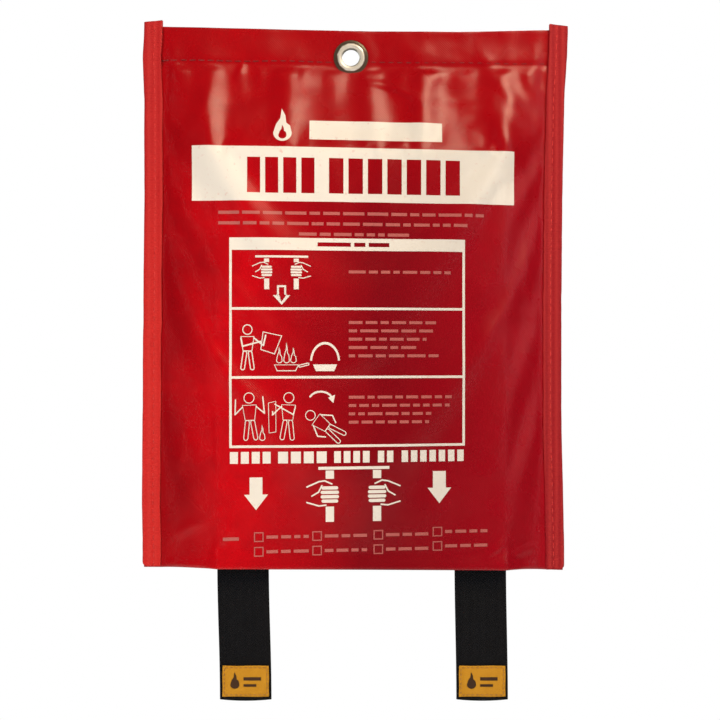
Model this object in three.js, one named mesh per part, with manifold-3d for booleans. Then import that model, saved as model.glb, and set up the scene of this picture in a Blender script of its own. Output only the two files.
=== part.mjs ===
// A fire blanket in its hanging pouch: a soft red pouch, hung by one eyelet and open at the bottom, and the
// folded glass-fibre blanket inside it, pulled out downwards by two webbing tabs.
//
// Millimetres, +Z up, +X to the right seen from the front, and the front faces -Y. The origin is the centre of
// the eyelet in the plane of the wall, y = 0. "Depth" is the distance in front of the wall, so y = -depth.

import * as THREE from 'three';
import { mergeVertices } from 'three/addons/utils/BufferGeometryUtils.js';
import Module from 'manifold-3d';

// Pouch.
const POUCH_WIDTH = 206; // over the bindings
const POUCH_CENTRE_X = 1.2; // the eyelet is set a little off the middle
const PANEL_HEIGHT = 262;
const PANEL_THICKNESS = 0.5;
const HEM_DEPTH = 17; // how far the top edge is turned in

// Edge bindings.
const BINDING_WIDTH = 9; // of the tape on each face
const BINDING_THICKNESS = 0.7;
const BINDING_PROUD = 3; // how far the bindings stand above the panels

// Eyelet.
const BORE_RADIUS = 4.1;
const BARREL_WALL = 0.6;
const FLANGE_RADIUS = 8.4;
const FLANGE_EDGE = 0.5;
const CROWN_LIP = 1.8; // from the bore to the top of the crown
const CROWN_HEIGHT = 2;
const ROLL_LIP = 1.3; // how far the roll reaches past the tube
const ROLL_THICKNESS = 0.5;
const WASHER_THICKNESS = 0.5;
const EYELET_DROP = 13.2; // below the top edge of the panels

// Folded blanket.
const PACKET_WIDTH = 140;
const PACKET_HEIGHT = 198;
const PACKET_CENTRE_X = 5.2;
const PACKET_LIFT = 7; // above the mouth of the pouch
const LEAF_COUNT = 5;
const LEAF_THICKNESS = 1.8;
const LEAF_GAP = 0.4;
const TAB_LEAF = 3; // the tabs lie between this leaf and the next, counted from the back

// Pull tabs.
const WEBBING_WIDTH = 25;
const WEBBING_THICKNESS = 1.2;
const TAB_SPACING = 115; // between the middles of the two tabs
const TAB_VISIBLE = 63; // below the mouth of the pouch
const ROOT_INSIDE = 45; // the length of webbing between the leaves
const BEND_ABOVE_MOUTH = 3; // the webbing bends this far above the mouth

// Labels.
const LABEL_WIDTH = 22.5;
const LABEL_HEIGHT = 15;
const LABEL_THICKNESS = 0.4;
const LABEL_END_MARGIN = 1.4;

// Thread.
const THREAD_WIDTH = 0.6;
const THREAD_THICKNESS = 0.3;
const BOX_STITCH_SIZE = 18;
const BOX_STITCH_BELOW_END = 4;
const LABEL_STITCH_INSET = 1;

// Fits.
const LAYER_FIT = 0.12; // between layers that lie flat on each other
const SEAM_FIT = 0.3; // between the two panels along the hem
const HOLE_FIT = 0.3;
const PACKET_SIDE_FIT = 1.2;
const PACKET_DEPTH_FIT = 0.5;
const BEND_FIT = 0.3;
const BULGE_MARGIN = 4; // the front panel starts to fall back this far above the packet
const BULGE_STEPS = 6;
const FOLD_STEPS = 8;
const ROUND_STEPS = 48;

const RED = 0x9e0812;
const BRIGHT_RED = 0xb41c20;
const THREAD_RED = 0x6e0a12;
const NICKEL = 0xb9b2a4;
const GLASS_CLOTH = 0xd9d4c6;
const WEBBING_BLACK = 0x15161a;
const LABEL_YELLOW = 0xb0771f;

// Depths of the layers, from the wall forwards.
const washerBack = ROLL_THICKNESS + LAYER_FIT;
const backPanelBack = washerBack + WASHER_THICKNESS + LAYER_FIT;
const backHemFront = backPanelBack + 2 * PANEL_THICKNESS;
const frontHemBack = backHemFront + SEAM_FIT;
const frontPanelFront = frontHemBack + 2 * PANEL_THICKNESS;
const frontPanelBack = frontPanelFront - PANEL_THICKNESS;
const flangeBack = frontPanelFront + LAYER_FIT;
const bindingBack = backPanelBack - LAYER_FIT - BINDING_THICKNESS;
const bindingFront = frontPanelFront + LAYER_FIT + BINDING_THICKNESS;
const grooveDepth = THREAD_THICKNESS + 2 * LAYER_FIT;
const grooveHalf = THREAD_WIDTH / 2 + LAYER_FIT;

const tabSlot = WEBBING_THICKNESS + THREAD_THICKNESS + 3 * LAYER_FIT;
const packetBack = backPanelBack + PANEL_THICKNESS + PACKET_DEPTH_FIT;
const leafGaps = Array.from({ length: LEAF_COUNT - 1 }, (_, i) => (i + 1 === TAB_LEAF ? tabSlot : LEAF_GAP));
const leafBacks = leafGaps.reduce(
  (backs, gap) => [...backs, backs[backs.length - 1] + LEAF_THICKNESS + gap],
  [packetBack],
);
const packetFront = leafBacks[LEAF_COUNT - 1] + LEAF_THICKNESS;
const cavityFront = packetFront + PACKET_DEPTH_FIT;
const tabBack = leafBacks[TAB_LEAF - 1] + LEAF_THICKNESS + LAYER_FIT;
const tabFront = tabBack + WEBBING_THICKNESS;
const tabMiddle = (tabBack + tabFront) / 2;

// Heights and places across.
const panelTop = EYELET_DROP;
const mouth = panelTop - PANEL_HEIGHT;
const hemLine = panelTop - HEM_DEPTH;
const hemStep = hemLine - PANEL_THICKNESS;
const bulgeTop = Math.min(hemStep - PANEL_THICKNESS, -FLANGE_RADIUS - SEAM_FIT); // flat behind the flange
const bindingTop = panelTop + BINDING_PROUD;
const packetBottom = mouth + PACKET_LIFT;
const packetTop = packetBottom + PACKET_HEIGHT;
const bendHeight = mouth + BEND_ABOVE_MOUTH;
const rootTop = bendHeight + ROOT_INSIDE;
const tabEnd = mouth - TAB_VISIBLE;
const labelBottom = tabEnd + LABEL_END_MARGIN;

const pouchLeft = POUCH_CENTRE_X - POUCH_WIDTH / 2;
const pouchRight = POUCH_CENTRE_X + POUCH_WIDTH / 2;
const panelLeft = pouchLeft + BINDING_THICKNESS + LAYER_FIT;
const panelRight = pouchRight - BINDING_THICKNESS - LAYER_FIT;
const seamLeft = pouchLeft + BINDING_WIDTH;
const seamRight = pouchRight - BINDING_WIDTH;
const cavityLeft = PACKET_CENTRE_X - PACKET_WIDTH / 2 - PACKET_SIDE_FIT;
const cavityRight = PACKET_CENTRE_X + PACKET_WIDTH / 2 + PACKET_SIDE_FIT;

const barrelRadius = BORE_RADIUS + BARREL_WALL;
const rollRadius = barrelRadius + ROLL_LIP;
const crownRadius = BORE_RADIUS + CROWN_LIP;
const holeRadius = barrelRadius + HOLE_FIT;

const SIDES = { left: -1, right: 1 };
const tabCentre = (side) => PACKET_CENTRE_X + (side * TAB_SPACING) / 2;

const wasm = await Module();
wasm.setup();

const group = new THREE.Group();

/** Adds one named piece with its own material. */
function addPiece(name, geometry, color, roughness, metalness = 0) {
  const material = new THREE.MeshStandardMaterial({ color, roughness, metalness });
  const mesh = new THREE.Mesh(geometry, material);
  mesh.name = name;
  group.add(mesh);
  return mesh;
}

/** Keeps only positions, with shared vertices merged, so that the surface is closed. */
function closed(geometry) {
  geometry.deleteAttribute('normal');
  geometry.deleteAttribute('uv');
  return mergeVertices(geometry, 1e-4);
}

function toSolid(geometry) {
  const merged = closed(geometry);
  return new wasm.Manifold(
    new wasm.Mesh({
      numProp: 3,
      vertProperties: new Float32Array(merged.attributes.position.array),
      triVerts: new Uint32Array(merged.index.array),
    }),
  );
}

function fromSolid(solid) {
  const mesh = solid.getMesh();
  const geometry = new THREE.BufferGeometry();
  geometry.setAttribute('position', new THREE.BufferAttribute(new Float32Array(mesh.vertProperties), 3));
  geometry.setIndex(new THREE.BufferAttribute(new Uint32Array(mesh.triVerts), 1));
  return geometry;
}

/** A box between two depths, across from left to right and up from bottom to top. */
function slab(left, right, bottom, top, back, front) {
  const geometry = new THREE.BoxGeometry(right - left, front - back, top - bottom);
  return geometry.translate((left + right) / 2, -(back + front) / 2, (bottom + top) / 2);
}

/** Extrudes a section drawn in (y, z) along X, from left to right. */
function extrudeAcross(shape, left, right) {
  const geometry = new THREE.ExtrudeGeometry(shape, { depth: right - left, bevelEnabled: false, curveSegments: 10 });
  const turn = new THREE.Matrix4().makeBasis(
    new THREE.Vector3(0, 1, 0),
    new THREE.Vector3(0, 0, 1),
    new THREE.Vector3(1, 0, 0),
  );
  return closed(geometry.applyMatrix4(turn).translate(left, 0, 0));
}

/** Extrudes an outline drawn in (x, z) from one depth to another. */
function extrudeForward(shape, back, front) {
  const geometry = new THREE.ExtrudeGeometry(shape, { depth: front - back, bevelEnabled: false });
  return closed(geometry.rotateX(Math.PI / 2).translate(0, -back, 0));
}

/** Turns a closed profile of (radius, depth) points round the eyelet's axis. */
function turned(profile) {
  const ring = [...profile, profile[0]].reverse().map(([radius, depth]) => new THREE.Vector2(radius, -depth));
  return closed(new THREE.LatheGeometry(ring, ROUND_STEPS));
}

/** The cylinder that the eyelet's hole takes out of a panel. */
function eyeletHole(back, front) {
  const geometry = new THREE.CylinderGeometry(holeRadius, holeRadius, front - back, ROUND_STEPS);
  return toSolid(geometry.translate(0, -(back + front) / 2, 0));
}

/** Stations from one place to another, the first left out. */
function stations(from, to, count) {
  return Array.from({ length: count }, (_, i) => from + ((to - from) * (i + 1)) / count);
}

const smooth = (t) => THREE.MathUtils.smoothstep(t, 0, 1);

/** The front panel's share of its full bulge at a place: 1 over the packet, 0 at the seams and the hem. */
function bulge(x, z) {
  const fromLeft = (x - seamLeft) / (cavityLeft - seamLeft);
  const fromRight = (seamRight - x) / (seamRight - cavityRight);
  const fromTop = (bulgeTop - z) / (bulgeTop - packetTop - BULGE_MARGIN);
  return smooth(Math.min(fromLeft, fromRight)) * smooth(fromTop);
}

/** A sheet over a grid of stations, its back and front at the depths that two functions give. */
function sheet(acrossStations, heightStations, backDepth, frontDepth) {
  const columns = acrossStations.length - 1;
  const rows = heightStations.length - 1;
  const geometry = new THREE.BoxGeometry(columns, 1, rows, columns, 1, rows);
  const position = geometry.attributes.position;
  for (let i = 0; i < position.count; i += 1) {
    const x = acrossStations[Math.round(position.getX(i) + columns / 2)];
    const z = heightStations[Math.round(position.getZ(i) + rows / 2)];
    const depth = position.getY(i) < 0 ? frontDepth(x, z) : backDepth(x, z);
    position.setXYZ(i, x, -depth, z);
  }
  return geometry;
}

/** Above this line a panel is double, and just below it the turned-in edge ends in a short step. */
const isHem = (z) => z >= hemLine;

function frontPanel() {
  const across = [
    panelLeft,
    seamLeft,
    ...stations(seamLeft, cavityLeft, BULGE_STEPS),
    ...stations(cavityLeft, cavityRight, 2),
    ...stations(cavityRight, seamRight, BULGE_STEPS),
    panelRight,
  ];
  const heights = [
    mouth,
    packetTop + BULGE_MARGIN,
    ...stations(packetTop + BULGE_MARGIN, bulgeTop, BULGE_STEPS),
    hemStep,
    hemLine,
    panelTop,
  ];
  const back = (x, z) => (isHem(z) ? frontHemBack : frontPanelBack + (cavityFront - frontPanelBack) * bulge(x, z));
  const front = (x, z) => (isHem(z) ? frontPanelFront : back(x, z) + PANEL_THICKNESS);
  const whole = toSolid(sheet(across, heights, back, front));
  const cut = whole.subtract(eyeletHole(frontHemBack - 1, frontPanelFront + 1));
  addPiece('front_panel', fromSolid(cut), RED, 0.35);
}

function backPanel() {
  const heights = [mouth, hemStep, hemLine, panelTop];
  const front = (x, z) => (isHem(z) ? backHemFront : backPanelBack + PANEL_THICKNESS);
  const whole = toSolid(sheet([panelLeft, panelRight], heights, () => backPanelBack, front));
  const cut = whole.subtract(eyeletHole(backPanelBack - 1, backHemFront + 1));
  addPiece('back_panel', fromSolid(cut), RED, 0.35);
}

/** The tape folded round one side seam, a U section with a groove on each face where the seam draws it in. */
function edgeBinding(name, side) {
  const edge = side < 0 ? pouchLeft : pouchRight;
  const inner = edge - side * BINDING_WIDTH;
  const web = edge - side * BINDING_THICKNESS;
  const middle = edge - (side * BINDING_WIDTH) / 2;
  const grooveIn = middle - side * grooveHalf;
  const grooveOut = middle + side * grooveHalf;
  const outline = [
    [inner, bindingBack],
    [grooveIn, bindingBack],
    [grooveIn, bindingBack + grooveDepth],
    [grooveOut, bindingBack + grooveDepth],
    [grooveOut, bindingBack],
    [edge, bindingBack],
    [edge, bindingFront],
    [grooveOut, bindingFront],
    [grooveOut, bindingFront - grooveDepth],
    [grooveIn, bindingFront - grooveDepth],
    [grooveIn, bindingFront],
    [inner, bindingFront],
    [inner, bindingFront - BINDING_THICKNESS],
    [web, bindingFront - BINDING_THICKNESS],
    [web, bindingBack + BINDING_THICKNESS],
    [inner, bindingBack + BINDING_THICKNESS],
  ];
  const shape = new THREE.Shape(outline.map(([x, depth]) => new THREE.Vector2(x, -depth)));
  const geometry = new THREE.ExtrudeGeometry(shape, { depth: bindingTop - mouth, bevelEnabled: false });
  addPiece(`${name}_edge_binding`, closed(geometry.translate(0, 0, mouth)), BRIGHT_RED, 0.7);
}

/** The run of thread in each groove of one binding, on the front and on the back. */
function bindingStitching(name, side) {
  const middle = (side < 0 ? pouchLeft : pouchRight) - (side * BINDING_WIDTH) / 2;
  const left = middle - THREAD_WIDTH / 2;
  const right = middle + THREAD_WIDTH / 2;
  const frontFace = bindingFront - LAYER_FIT;
  const backFace = bindingBack + LAYER_FIT;
  const frontRun = slab(left, right, mouth, bindingTop, frontFace - THREAD_THICKNESS, frontFace);
  const backRun = slab(left, right, mouth, bindingTop, backFace, backFace + THREAD_THICKNESS);
  addPiece(`${name}_binding_stitching_front`, closed(frontRun), THREAD_RED, 0.8);
  addPiece(`${name}_binding_stitching_back`, closed(backRun), THREAD_RED, 0.8);
}

/** The hem's run of thread from one binding to the eyelet, on the front and on the back. */
function hemStitching(name, side) {
  const outer = (side < 0 ? seamLeft : seamRight) - side * SEAM_FIT;
  const inner = side * (FLANGE_RADIUS + SEAM_FIT);
  const left = Math.min(outer, inner);
  const right = Math.max(outer, inner);
  const bottom = hemLine + THREAD_WIDTH;
  const top = bottom + THREAD_WIDTH;
  const frontSeat = frontPanelFront + LAYER_FIT;
  const backSeat = backPanelBack - LAYER_FIT;
  const frontRun = slab(left, right, bottom, top, frontSeat, frontSeat + THREAD_THICKNESS);
  const backRun = slab(left, right, bottom, top, backSeat - THREAD_THICKNESS, backSeat);
  addPiece(`hem_stitching_front_${name}`, closed(frontRun), THREAD_RED, 0.8);
  addPiece(`hem_stitching_back_${name}`, closed(backRun), THREAD_RED, 0.8);
}

/** The eyelet's front half: a tube through all the layers with a domed flange, rolled over behind the washer. */
function eyeletBarrel() {
  const crownFront = flangeBack + CROWN_HEIGHT;
  const crown = [];
  for (let step = 0; step <= 6; step += 1) {
    const angle = (Math.PI * step) / 12;
    const across = crownRadius - CROWN_LIP * Math.sin(angle);
    crown.push([across, crownFront - CROWN_HEIGHT * 0.6 * (1 - Math.cos(angle))]);
  }
  const profile = [
    [BORE_RADIUS, 0],
    [rollRadius, 0],
    [rollRadius, ROLL_THICKNESS],
    [barrelRadius, ROLL_THICKNESS],
    [barrelRadius, flangeBack],
    [FLANGE_RADIUS, flangeBack],
    [FLANGE_RADIUS, flangeBack + FLANGE_EDGE],
    [FLANGE_RADIUS - FLANGE_EDGE, flangeBack + 2 * FLANGE_EDGE],
    ...crown,
  ];
  addPiece('eyelet_barrel', turned(profile), NICKEL, 0.25, 1);
}

function eyeletWasher() {
  const washerFront = washerBack + WASHER_THICKNESS;
  const profile = [
    [holeRadius, washerBack],
    [FLANGE_RADIUS, washerBack],
    [FLANGE_RADIUS, washerFront],
    [holeRadius, washerFront],
  ];
  addPiece('eyelet_washer', turned(profile), NICKEL, 0.3, 1);
}

/** One face of the folded cloth in section, from its first leaf to its last, round every fold between them. */
function foldedFace(startsAtBack) {
  const points = [];
  for (let leaf = 0; leaf < LEAF_COUNT; leaf += 1) {
    const rising = leaf % 2 === 0;
    const direction = rising ? 1 : -1;
    const before = leaf === 0 ? 0 : foldRadius(leaf - 1);
    const after = leaf === LEAF_COUNT - 1 ? 0 : foldRadius(leaf);
    const from = (rising ? packetBottom : packetTop) + direction * before;
    const to = (rising ? packetTop : packetBottom) - direction * after;
    const depth = faceDepth(leaf, startsAtBack);
    points.push([depth, from], [depth, to]);
    if (after > 0) {
      points.push(...foldArc(depth, faceDepth(leaf + 1, startsAtBack), to, direction));
    }
  }
  return points;
}

/** The face that starts at the back of the first leaf is at the front of the next one, and so on. */
function faceDepth(leaf, startsAtBack) {
  const atBack = (leaf % 2 === 0) === startsAtBack;
  return leafBacks[leaf] + (atBack ? 0 : LEAF_THICKNESS);
}

const foldRadius = (fold) => LEAF_THICKNESS + leafGaps[fold] / 2;

/** The points between the ends of a half circle from one depth to another. */
function foldArc(fromDepth, toDepth, height, direction) {
  const centre = (fromDepth + toDepth) / 2;
  const radius = (toDepth - fromDepth) / 2;
  const points = [];
  for (let step = 1; step < FOLD_STEPS; step += 1) {
    const angle = (Math.PI * step) / FOLD_STEPS;
    points.push([centre - radius * Math.cos(angle), height + direction * radius * Math.sin(angle)]);
  }
  return points;
}

/** The blanket as a packet of leaves: straight runs joined by round folds at the top and bottom in turn. */
function foldedBlanket() {
  const outline = [...foldedFace(true), ...foldedFace(false).reverse()];
  const shape = new THREE.Shape(outline.map(([depth, z]) => new THREE.Vector2(-depth, z)));
  const left = PACKET_CENTRE_X - PACKET_WIDTH / 2;
  addPiece('folded_blanket', extrudeAcross(shape, left, left + PACKET_WIDTH), GLASS_CLOTH, 0.8);
}

/** The stretch of webbing between two leaves of the blanket, which ends just above the bend at the mouth. */
function tabRoot(name, side) {
  const middle = tabCentre(side);
  const bottom = bendHeight + WEBBING_THICKNESS / 2 + BEND_FIT;
  const half = WEBBING_WIDTH / 2;
  const webbing = slab(middle - half, middle + half, bottom, rootTop, tabBack, tabFront);
  addPiece(`${name}_tab_root`, closed(webbing), WEBBING_BLACK, 0.85);
}

/** A square of thread with its two diagonals, near the end of the webbing. */
function boxStitching(name, side) {
  const middle = tabCentre(side);
  const half = BOX_STITCH_SIZE / 2;
  const centre = rootTop - BOX_STITCH_BELOW_END - half;
  const place = (x, z) => new THREE.Vector2(middle + x, centre + z);
  const square = [place(-half, -half), place(half, -half), place(half, half), place(-half, half)];
  const shape = new THREE.Shape(square);
  const reach = half - THREAD_WIDTH;
  const nearMiddle = THREAD_WIDTH * Math.SQRT1_2;
  const across = reach - nearMiddle;
  [[1, 0], [0, 1], [-1, 0], [0, -1]].forEach(([ux, uz]) => {
    const corner = (along, sideways) => place(ux * along - uz * sideways, uz * along + ux * sideways);
    shape.holes.push(new THREE.Path([corner(nearMiddle, 0), corner(reach, across), corner(reach, -across)]));
  });
  const seat = tabFront + LAYER_FIT;
  const thread = extrudeForward(shape, seat, seat + THREAD_THICKNESS);
  addPiece(`${name}_tab_box_stitching`, thread, WEBBING_BLACK, 0.8);
}

/** The webbing that hangs out of the mouth, round at the top where it bends. */
function hangingTab(name, side) {
  const middle = tabCentre(side);
  const half = WEBBING_WIDTH / 2;
  const shape = new THREE.Shape();
  shape.moveTo(-tabBack, tabEnd);
  shape.lineTo(-tabBack, bendHeight);
  shape.absarc(-tabMiddle, bendHeight, WEBBING_THICKNESS / 2, 0, Math.PI, false);
  shape.lineTo(-tabFront, tabEnd);
  addPiece(`${name}_tab_webbing`, extrudeAcross(shape, middle - half, middle + half), WEBBING_BLACK, 0.85);
}

function tabLabel(name, side) {
  const middle = tabCentre(side);
  const half = LABEL_WIDTH / 2;
  const labelTop = labelBottom + LABEL_HEIGHT;
  const seat = tabFront + LAYER_FIT;
  const label = slab(middle - half, middle + half, labelBottom, labelTop, seat, seat + LABEL_THICKNESS);
  addPiece(`${name}_tab_label`, closed(label), LABEL_YELLOW, 0.75);
}

/** The ring of thread just inside the label's edge. */
function labelStitching(name, side) {
  const middle = tabCentre(side);
  const centre = labelBottom + LABEL_HEIGHT / 2;
  const outline = (inset) => {
    const across = LABEL_WIDTH / 2 - inset;
    const up = LABEL_HEIGHT / 2 - inset;
    const place = (x, z) => new THREE.Vector2(middle + x, centre + z);
    return [place(-across, -up), place(across, -up), place(across, up), place(-across, up)];
  };
  const shape = new THREE.Shape(outline(LABEL_STITCH_INSET));
  shape.holes.push(new THREE.Path(outline(LABEL_STITCH_INSET + THREAD_WIDTH)));
  const seat = tabFront + LAYER_FIT + LABEL_THICKNESS + LAYER_FIT;
  addPiece(`${name}_label_stitching`, extrudeForward(shape, seat, seat + THREAD_THICKNESS), WEBBING_BLACK, 0.8);
}

frontPanel();
backPanel();
eyeletBarrel();
eyeletWasher();
foldedBlanket();
Object.entries(SIDES).forEach(([name, side]) => {
  edgeBinding(name, side);
  bindingStitching(name, side);
  hemStitching(name, side);
  tabRoot(name, side);
  boxStitching(name, side);
  hangingTab(name, side);
  tabLabel(name, side);
  labelStitching(name, side);
});

export default group;
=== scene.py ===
"""The looks of a fire blanket in its hanging pouch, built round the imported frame.

Shapes are worked out in millimetres and turned into metres as they become meshes. +Z is up, +X is to the
right seen from the front, and the front faces -Y. "Depth" is the distance in front of the wall: y = -depth.
"""

import math
import random

import bmesh
import bpy
import numpy as np
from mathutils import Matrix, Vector, noise
from mathutils.bvhtree import BVHTree
from mathutils.geometry import tessellate_polygon


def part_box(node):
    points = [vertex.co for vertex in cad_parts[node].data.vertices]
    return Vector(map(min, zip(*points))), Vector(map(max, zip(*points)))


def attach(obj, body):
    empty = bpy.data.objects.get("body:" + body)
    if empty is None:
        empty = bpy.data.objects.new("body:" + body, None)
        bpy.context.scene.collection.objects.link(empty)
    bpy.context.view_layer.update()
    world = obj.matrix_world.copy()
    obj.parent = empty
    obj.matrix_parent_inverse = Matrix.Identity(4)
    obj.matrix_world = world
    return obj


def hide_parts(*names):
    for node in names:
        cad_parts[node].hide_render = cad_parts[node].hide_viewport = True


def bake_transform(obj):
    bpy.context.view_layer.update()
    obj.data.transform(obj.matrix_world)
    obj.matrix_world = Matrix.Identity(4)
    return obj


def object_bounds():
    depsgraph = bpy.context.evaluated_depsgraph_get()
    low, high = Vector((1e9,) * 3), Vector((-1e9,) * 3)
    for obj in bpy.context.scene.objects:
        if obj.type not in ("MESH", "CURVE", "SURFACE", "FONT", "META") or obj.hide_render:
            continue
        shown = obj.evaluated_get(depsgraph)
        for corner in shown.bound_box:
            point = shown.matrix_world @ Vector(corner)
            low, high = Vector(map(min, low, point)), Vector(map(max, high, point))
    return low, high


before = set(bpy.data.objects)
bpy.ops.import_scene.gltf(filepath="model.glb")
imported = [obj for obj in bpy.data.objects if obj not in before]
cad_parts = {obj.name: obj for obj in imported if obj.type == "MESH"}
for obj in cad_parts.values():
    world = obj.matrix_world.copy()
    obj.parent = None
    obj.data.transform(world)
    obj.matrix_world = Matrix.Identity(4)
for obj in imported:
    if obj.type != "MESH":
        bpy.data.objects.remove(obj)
cad_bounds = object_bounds()

MM = 0.001
SIDES = {"left": -1, "right": 1}
FACES = {"front": (0, -1, 0), "back": (0, 1, 0)}  # the way each face of the pouch looks


def box_mm(node):
    """The lowest and highest corners of a CAD node, in millimetres."""
    low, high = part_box(node)
    return np.array(low) / MM, np.array(high) / MM


# ---------------------------------------------------------------- sizes

front_low, front_high = box_mm("front_panel")
back_high = box_mm("back_panel")[1]
packet_low, packet_high = box_mm("folded_blanket")
eyelet_low, eyelet_high = box_mm("eyelet_barrel")
washer_low, washer_high = box_mm("eyelet_washer")
binding_boxes = {name: box_mm(f"{name}_edge_binding") for name in SIDES}

CLOTH = 0.45  # thickness of the coated cloth
PANEL_LEFT, PANEL_RIGHT = front_low[0], front_high[0]
MOUTH, PANEL_TOP = front_low[2], front_high[2]
HEM_DEPTH = 17.0
HEM_LINE = PANEL_TOP - HEM_DEPTH
MOUTH_TURNING = 12
CAD_CLOTH = 0.5
SEAM_FRONT = -front_high[1] + 2 * CAD_CLOTH
PUFF = 0.7  # the filled front stands this far proud of the CAD solid
PILLOW = 3.0  # and its middle this much further
FULL_FRONT = -front_low[1] + PUFF
BACK_DEPTH = -back_high[1]
SEAM_LEFT = binding_boxes["left"][1][0]
SEAM_RIGHT = binding_boxes["right"][0][0]
GRID = 1.25  # spacing of the panels' points
INK_GRID = 0.8
HOLE_RADIUS = 5.0

PRINT_MIDDLE = 0.9  # across, from the eyelet
INK_LIFT = 0.15
INK_THICKNESS = 0.12
INK_STAGGER = 0.012  # keeps the faces of shapes that meet apart

SEAM_SHARE = 0.6  # the bindings' seams run this far in from their outer edges
SEAM_PULL = 0.27  # the thread draws the tape in this far
SEAM_END = 0.4
TAPE = 0.7  # thickness of the binding tape
TAPE_FOLD = 1.3  # radius of its folded edge
TAPE_COLUMNS = (0.93, 0.8, 0.66, 0.58, 0.5, 0.42, 0.34, 0.25)  # shares of its width with a line of points
TAPE_CORNER = 2.4
TAPE_SEEDS = {-1: 11.3, 1: 23.9}
STITCH_LENGTH = 3.3
STITCH_GAP = 0.9
THREAD_RADIUS = 0.22


# ---------------------------------------------------------------- meshes


def put(name, data):
    """A new object of the scene."""
    obj = bpy.data.objects.new(name, data)
    bpy.context.scene.collection.objects.link(obj)
    return obj


def mesh_object(name, points, faces):
    """An object from points in metres."""
    mesh = bpy.data.meshes.new(name)
    mesh.from_pydata(points, [], faces)
    return put(name, mesh)


def piece(name, points, faces, material):
    """A closed body from points in millimetres, shaded smooth, with its faces turned outwards."""
    obj = mesh_object(name, (np.asarray(points, float) * MM).tolist(), faces)
    mesh = obj.data
    mesh.validate()
    mesh.update()
    mesh.materials.append(material)
    bm = bmesh.new()
    bm.from_mesh(mesh)
    bmesh.ops.recalc_face_normals(bm, faces=bm.faces)
    bm.to_mesh(mesh)
    bm.free()
    mesh.polygons.foreach_set("use_smooth", [True] * len(mesh.polygons))
    return obj


def fit(obj, body, *nodes):
    """The piece stands for these CAD nodes and moves with this body."""
    if nodes:
        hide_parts(*nodes)
    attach(obj, body)
    return obj


def grid_faces(rows, columns, around=False, first=0):
    """Quads over a grid of points stored row by row. around joins the last column to the first."""
    faces = []
    for row in range(rows - 1):
        for column in range(columns if around else columns - 1):
            a = first + row * columns + column
            b = first + row * columns + (column + 1) % columns
            faces.append((a, b, b + columns, a + columns))
    return faces


def shell(name, centre, thickness, material):
    """A closed sheet from a grid of points down its middle, of shape (rows, columns, 3)."""
    rows, columns, _ = centre.shape
    normal = np.cross(np.gradient(centre, axis=1), np.gradient(centre, axis=0))
    normal /= np.linalg.norm(normal, axis=2, keepdims=True)
    near = (centre + normal * thickness / 2).reshape(-1, 3)
    far = (centre - normal * thickness / 2).reshape(-1, 3)
    count = rows * columns
    faces = grid_faces(rows, columns)
    faces += [tuple(reversed(f)) for f in grid_faces(rows, columns, first=count)]
    rim = list(range(columns))
    rim += [row * columns + columns - 1 for row in range(1, rows)]
    rim += [(rows - 1) * columns + column for column in range(columns - 2, -1, -1)]
    rim += [row * columns for row in range(rows - 2, 0, -1)]
    for a, b in zip(rim, rim[1:] + rim[:1]):
        faces.append((b, a, a + count, b + count))
    return piece(name, np.vstack([near, far]), faces, material)


def capped_tube(rows, columns):
    """The faces of a closed body whose points are rings stored one after another."""
    last = (rows - 1) * columns
    ends = [tuple(range(columns)), tuple(last + i for i in reversed(range(columns)))]
    return grid_faces(rows, columns, around=True) + ends


def swept(name, sections, material):
    """A closed body from sections of shape (stations, points, 3)."""
    return piece(name, sections.reshape(-1, 3), capped_tube(*sections.shape[:2]), material)


def turned(name, profile, material, steps=96):
    """A closed body from a closed profile of (radius, depth) round the eyelet's axis."""
    angles = np.linspace(0, 2 * math.pi, steps, endpoint=False)[:, None]
    radius, depth = np.array(profile, float).T
    sections = np.stack([radius * np.cos(angles), -depth + 0 * angles, radius * np.sin(angles)], axis=2)
    count = len(profile)
    last = (steps - 1) * count
    faces = grid_faces(steps, count, around=True)
    for i in range(count):
        after = (i + 1) % count
        faces.append((last + i, last + after, after, i))
    return piece(name, sections.reshape(-1, 3), faces, material)


def joined(name, parts, material):
    """One piece from several bodies, each given as (points, faces)."""
    points, faces, start = [], [], 0
    for part_points, part_faces in parts:
        points.append(part_points)
        faces += [tuple(i + start for i in f) for f in part_faces]
        start += len(part_points)
    return piece(name, np.vstack(points), faces, material)


# ---------------------------------------------------------------- materials


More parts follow.
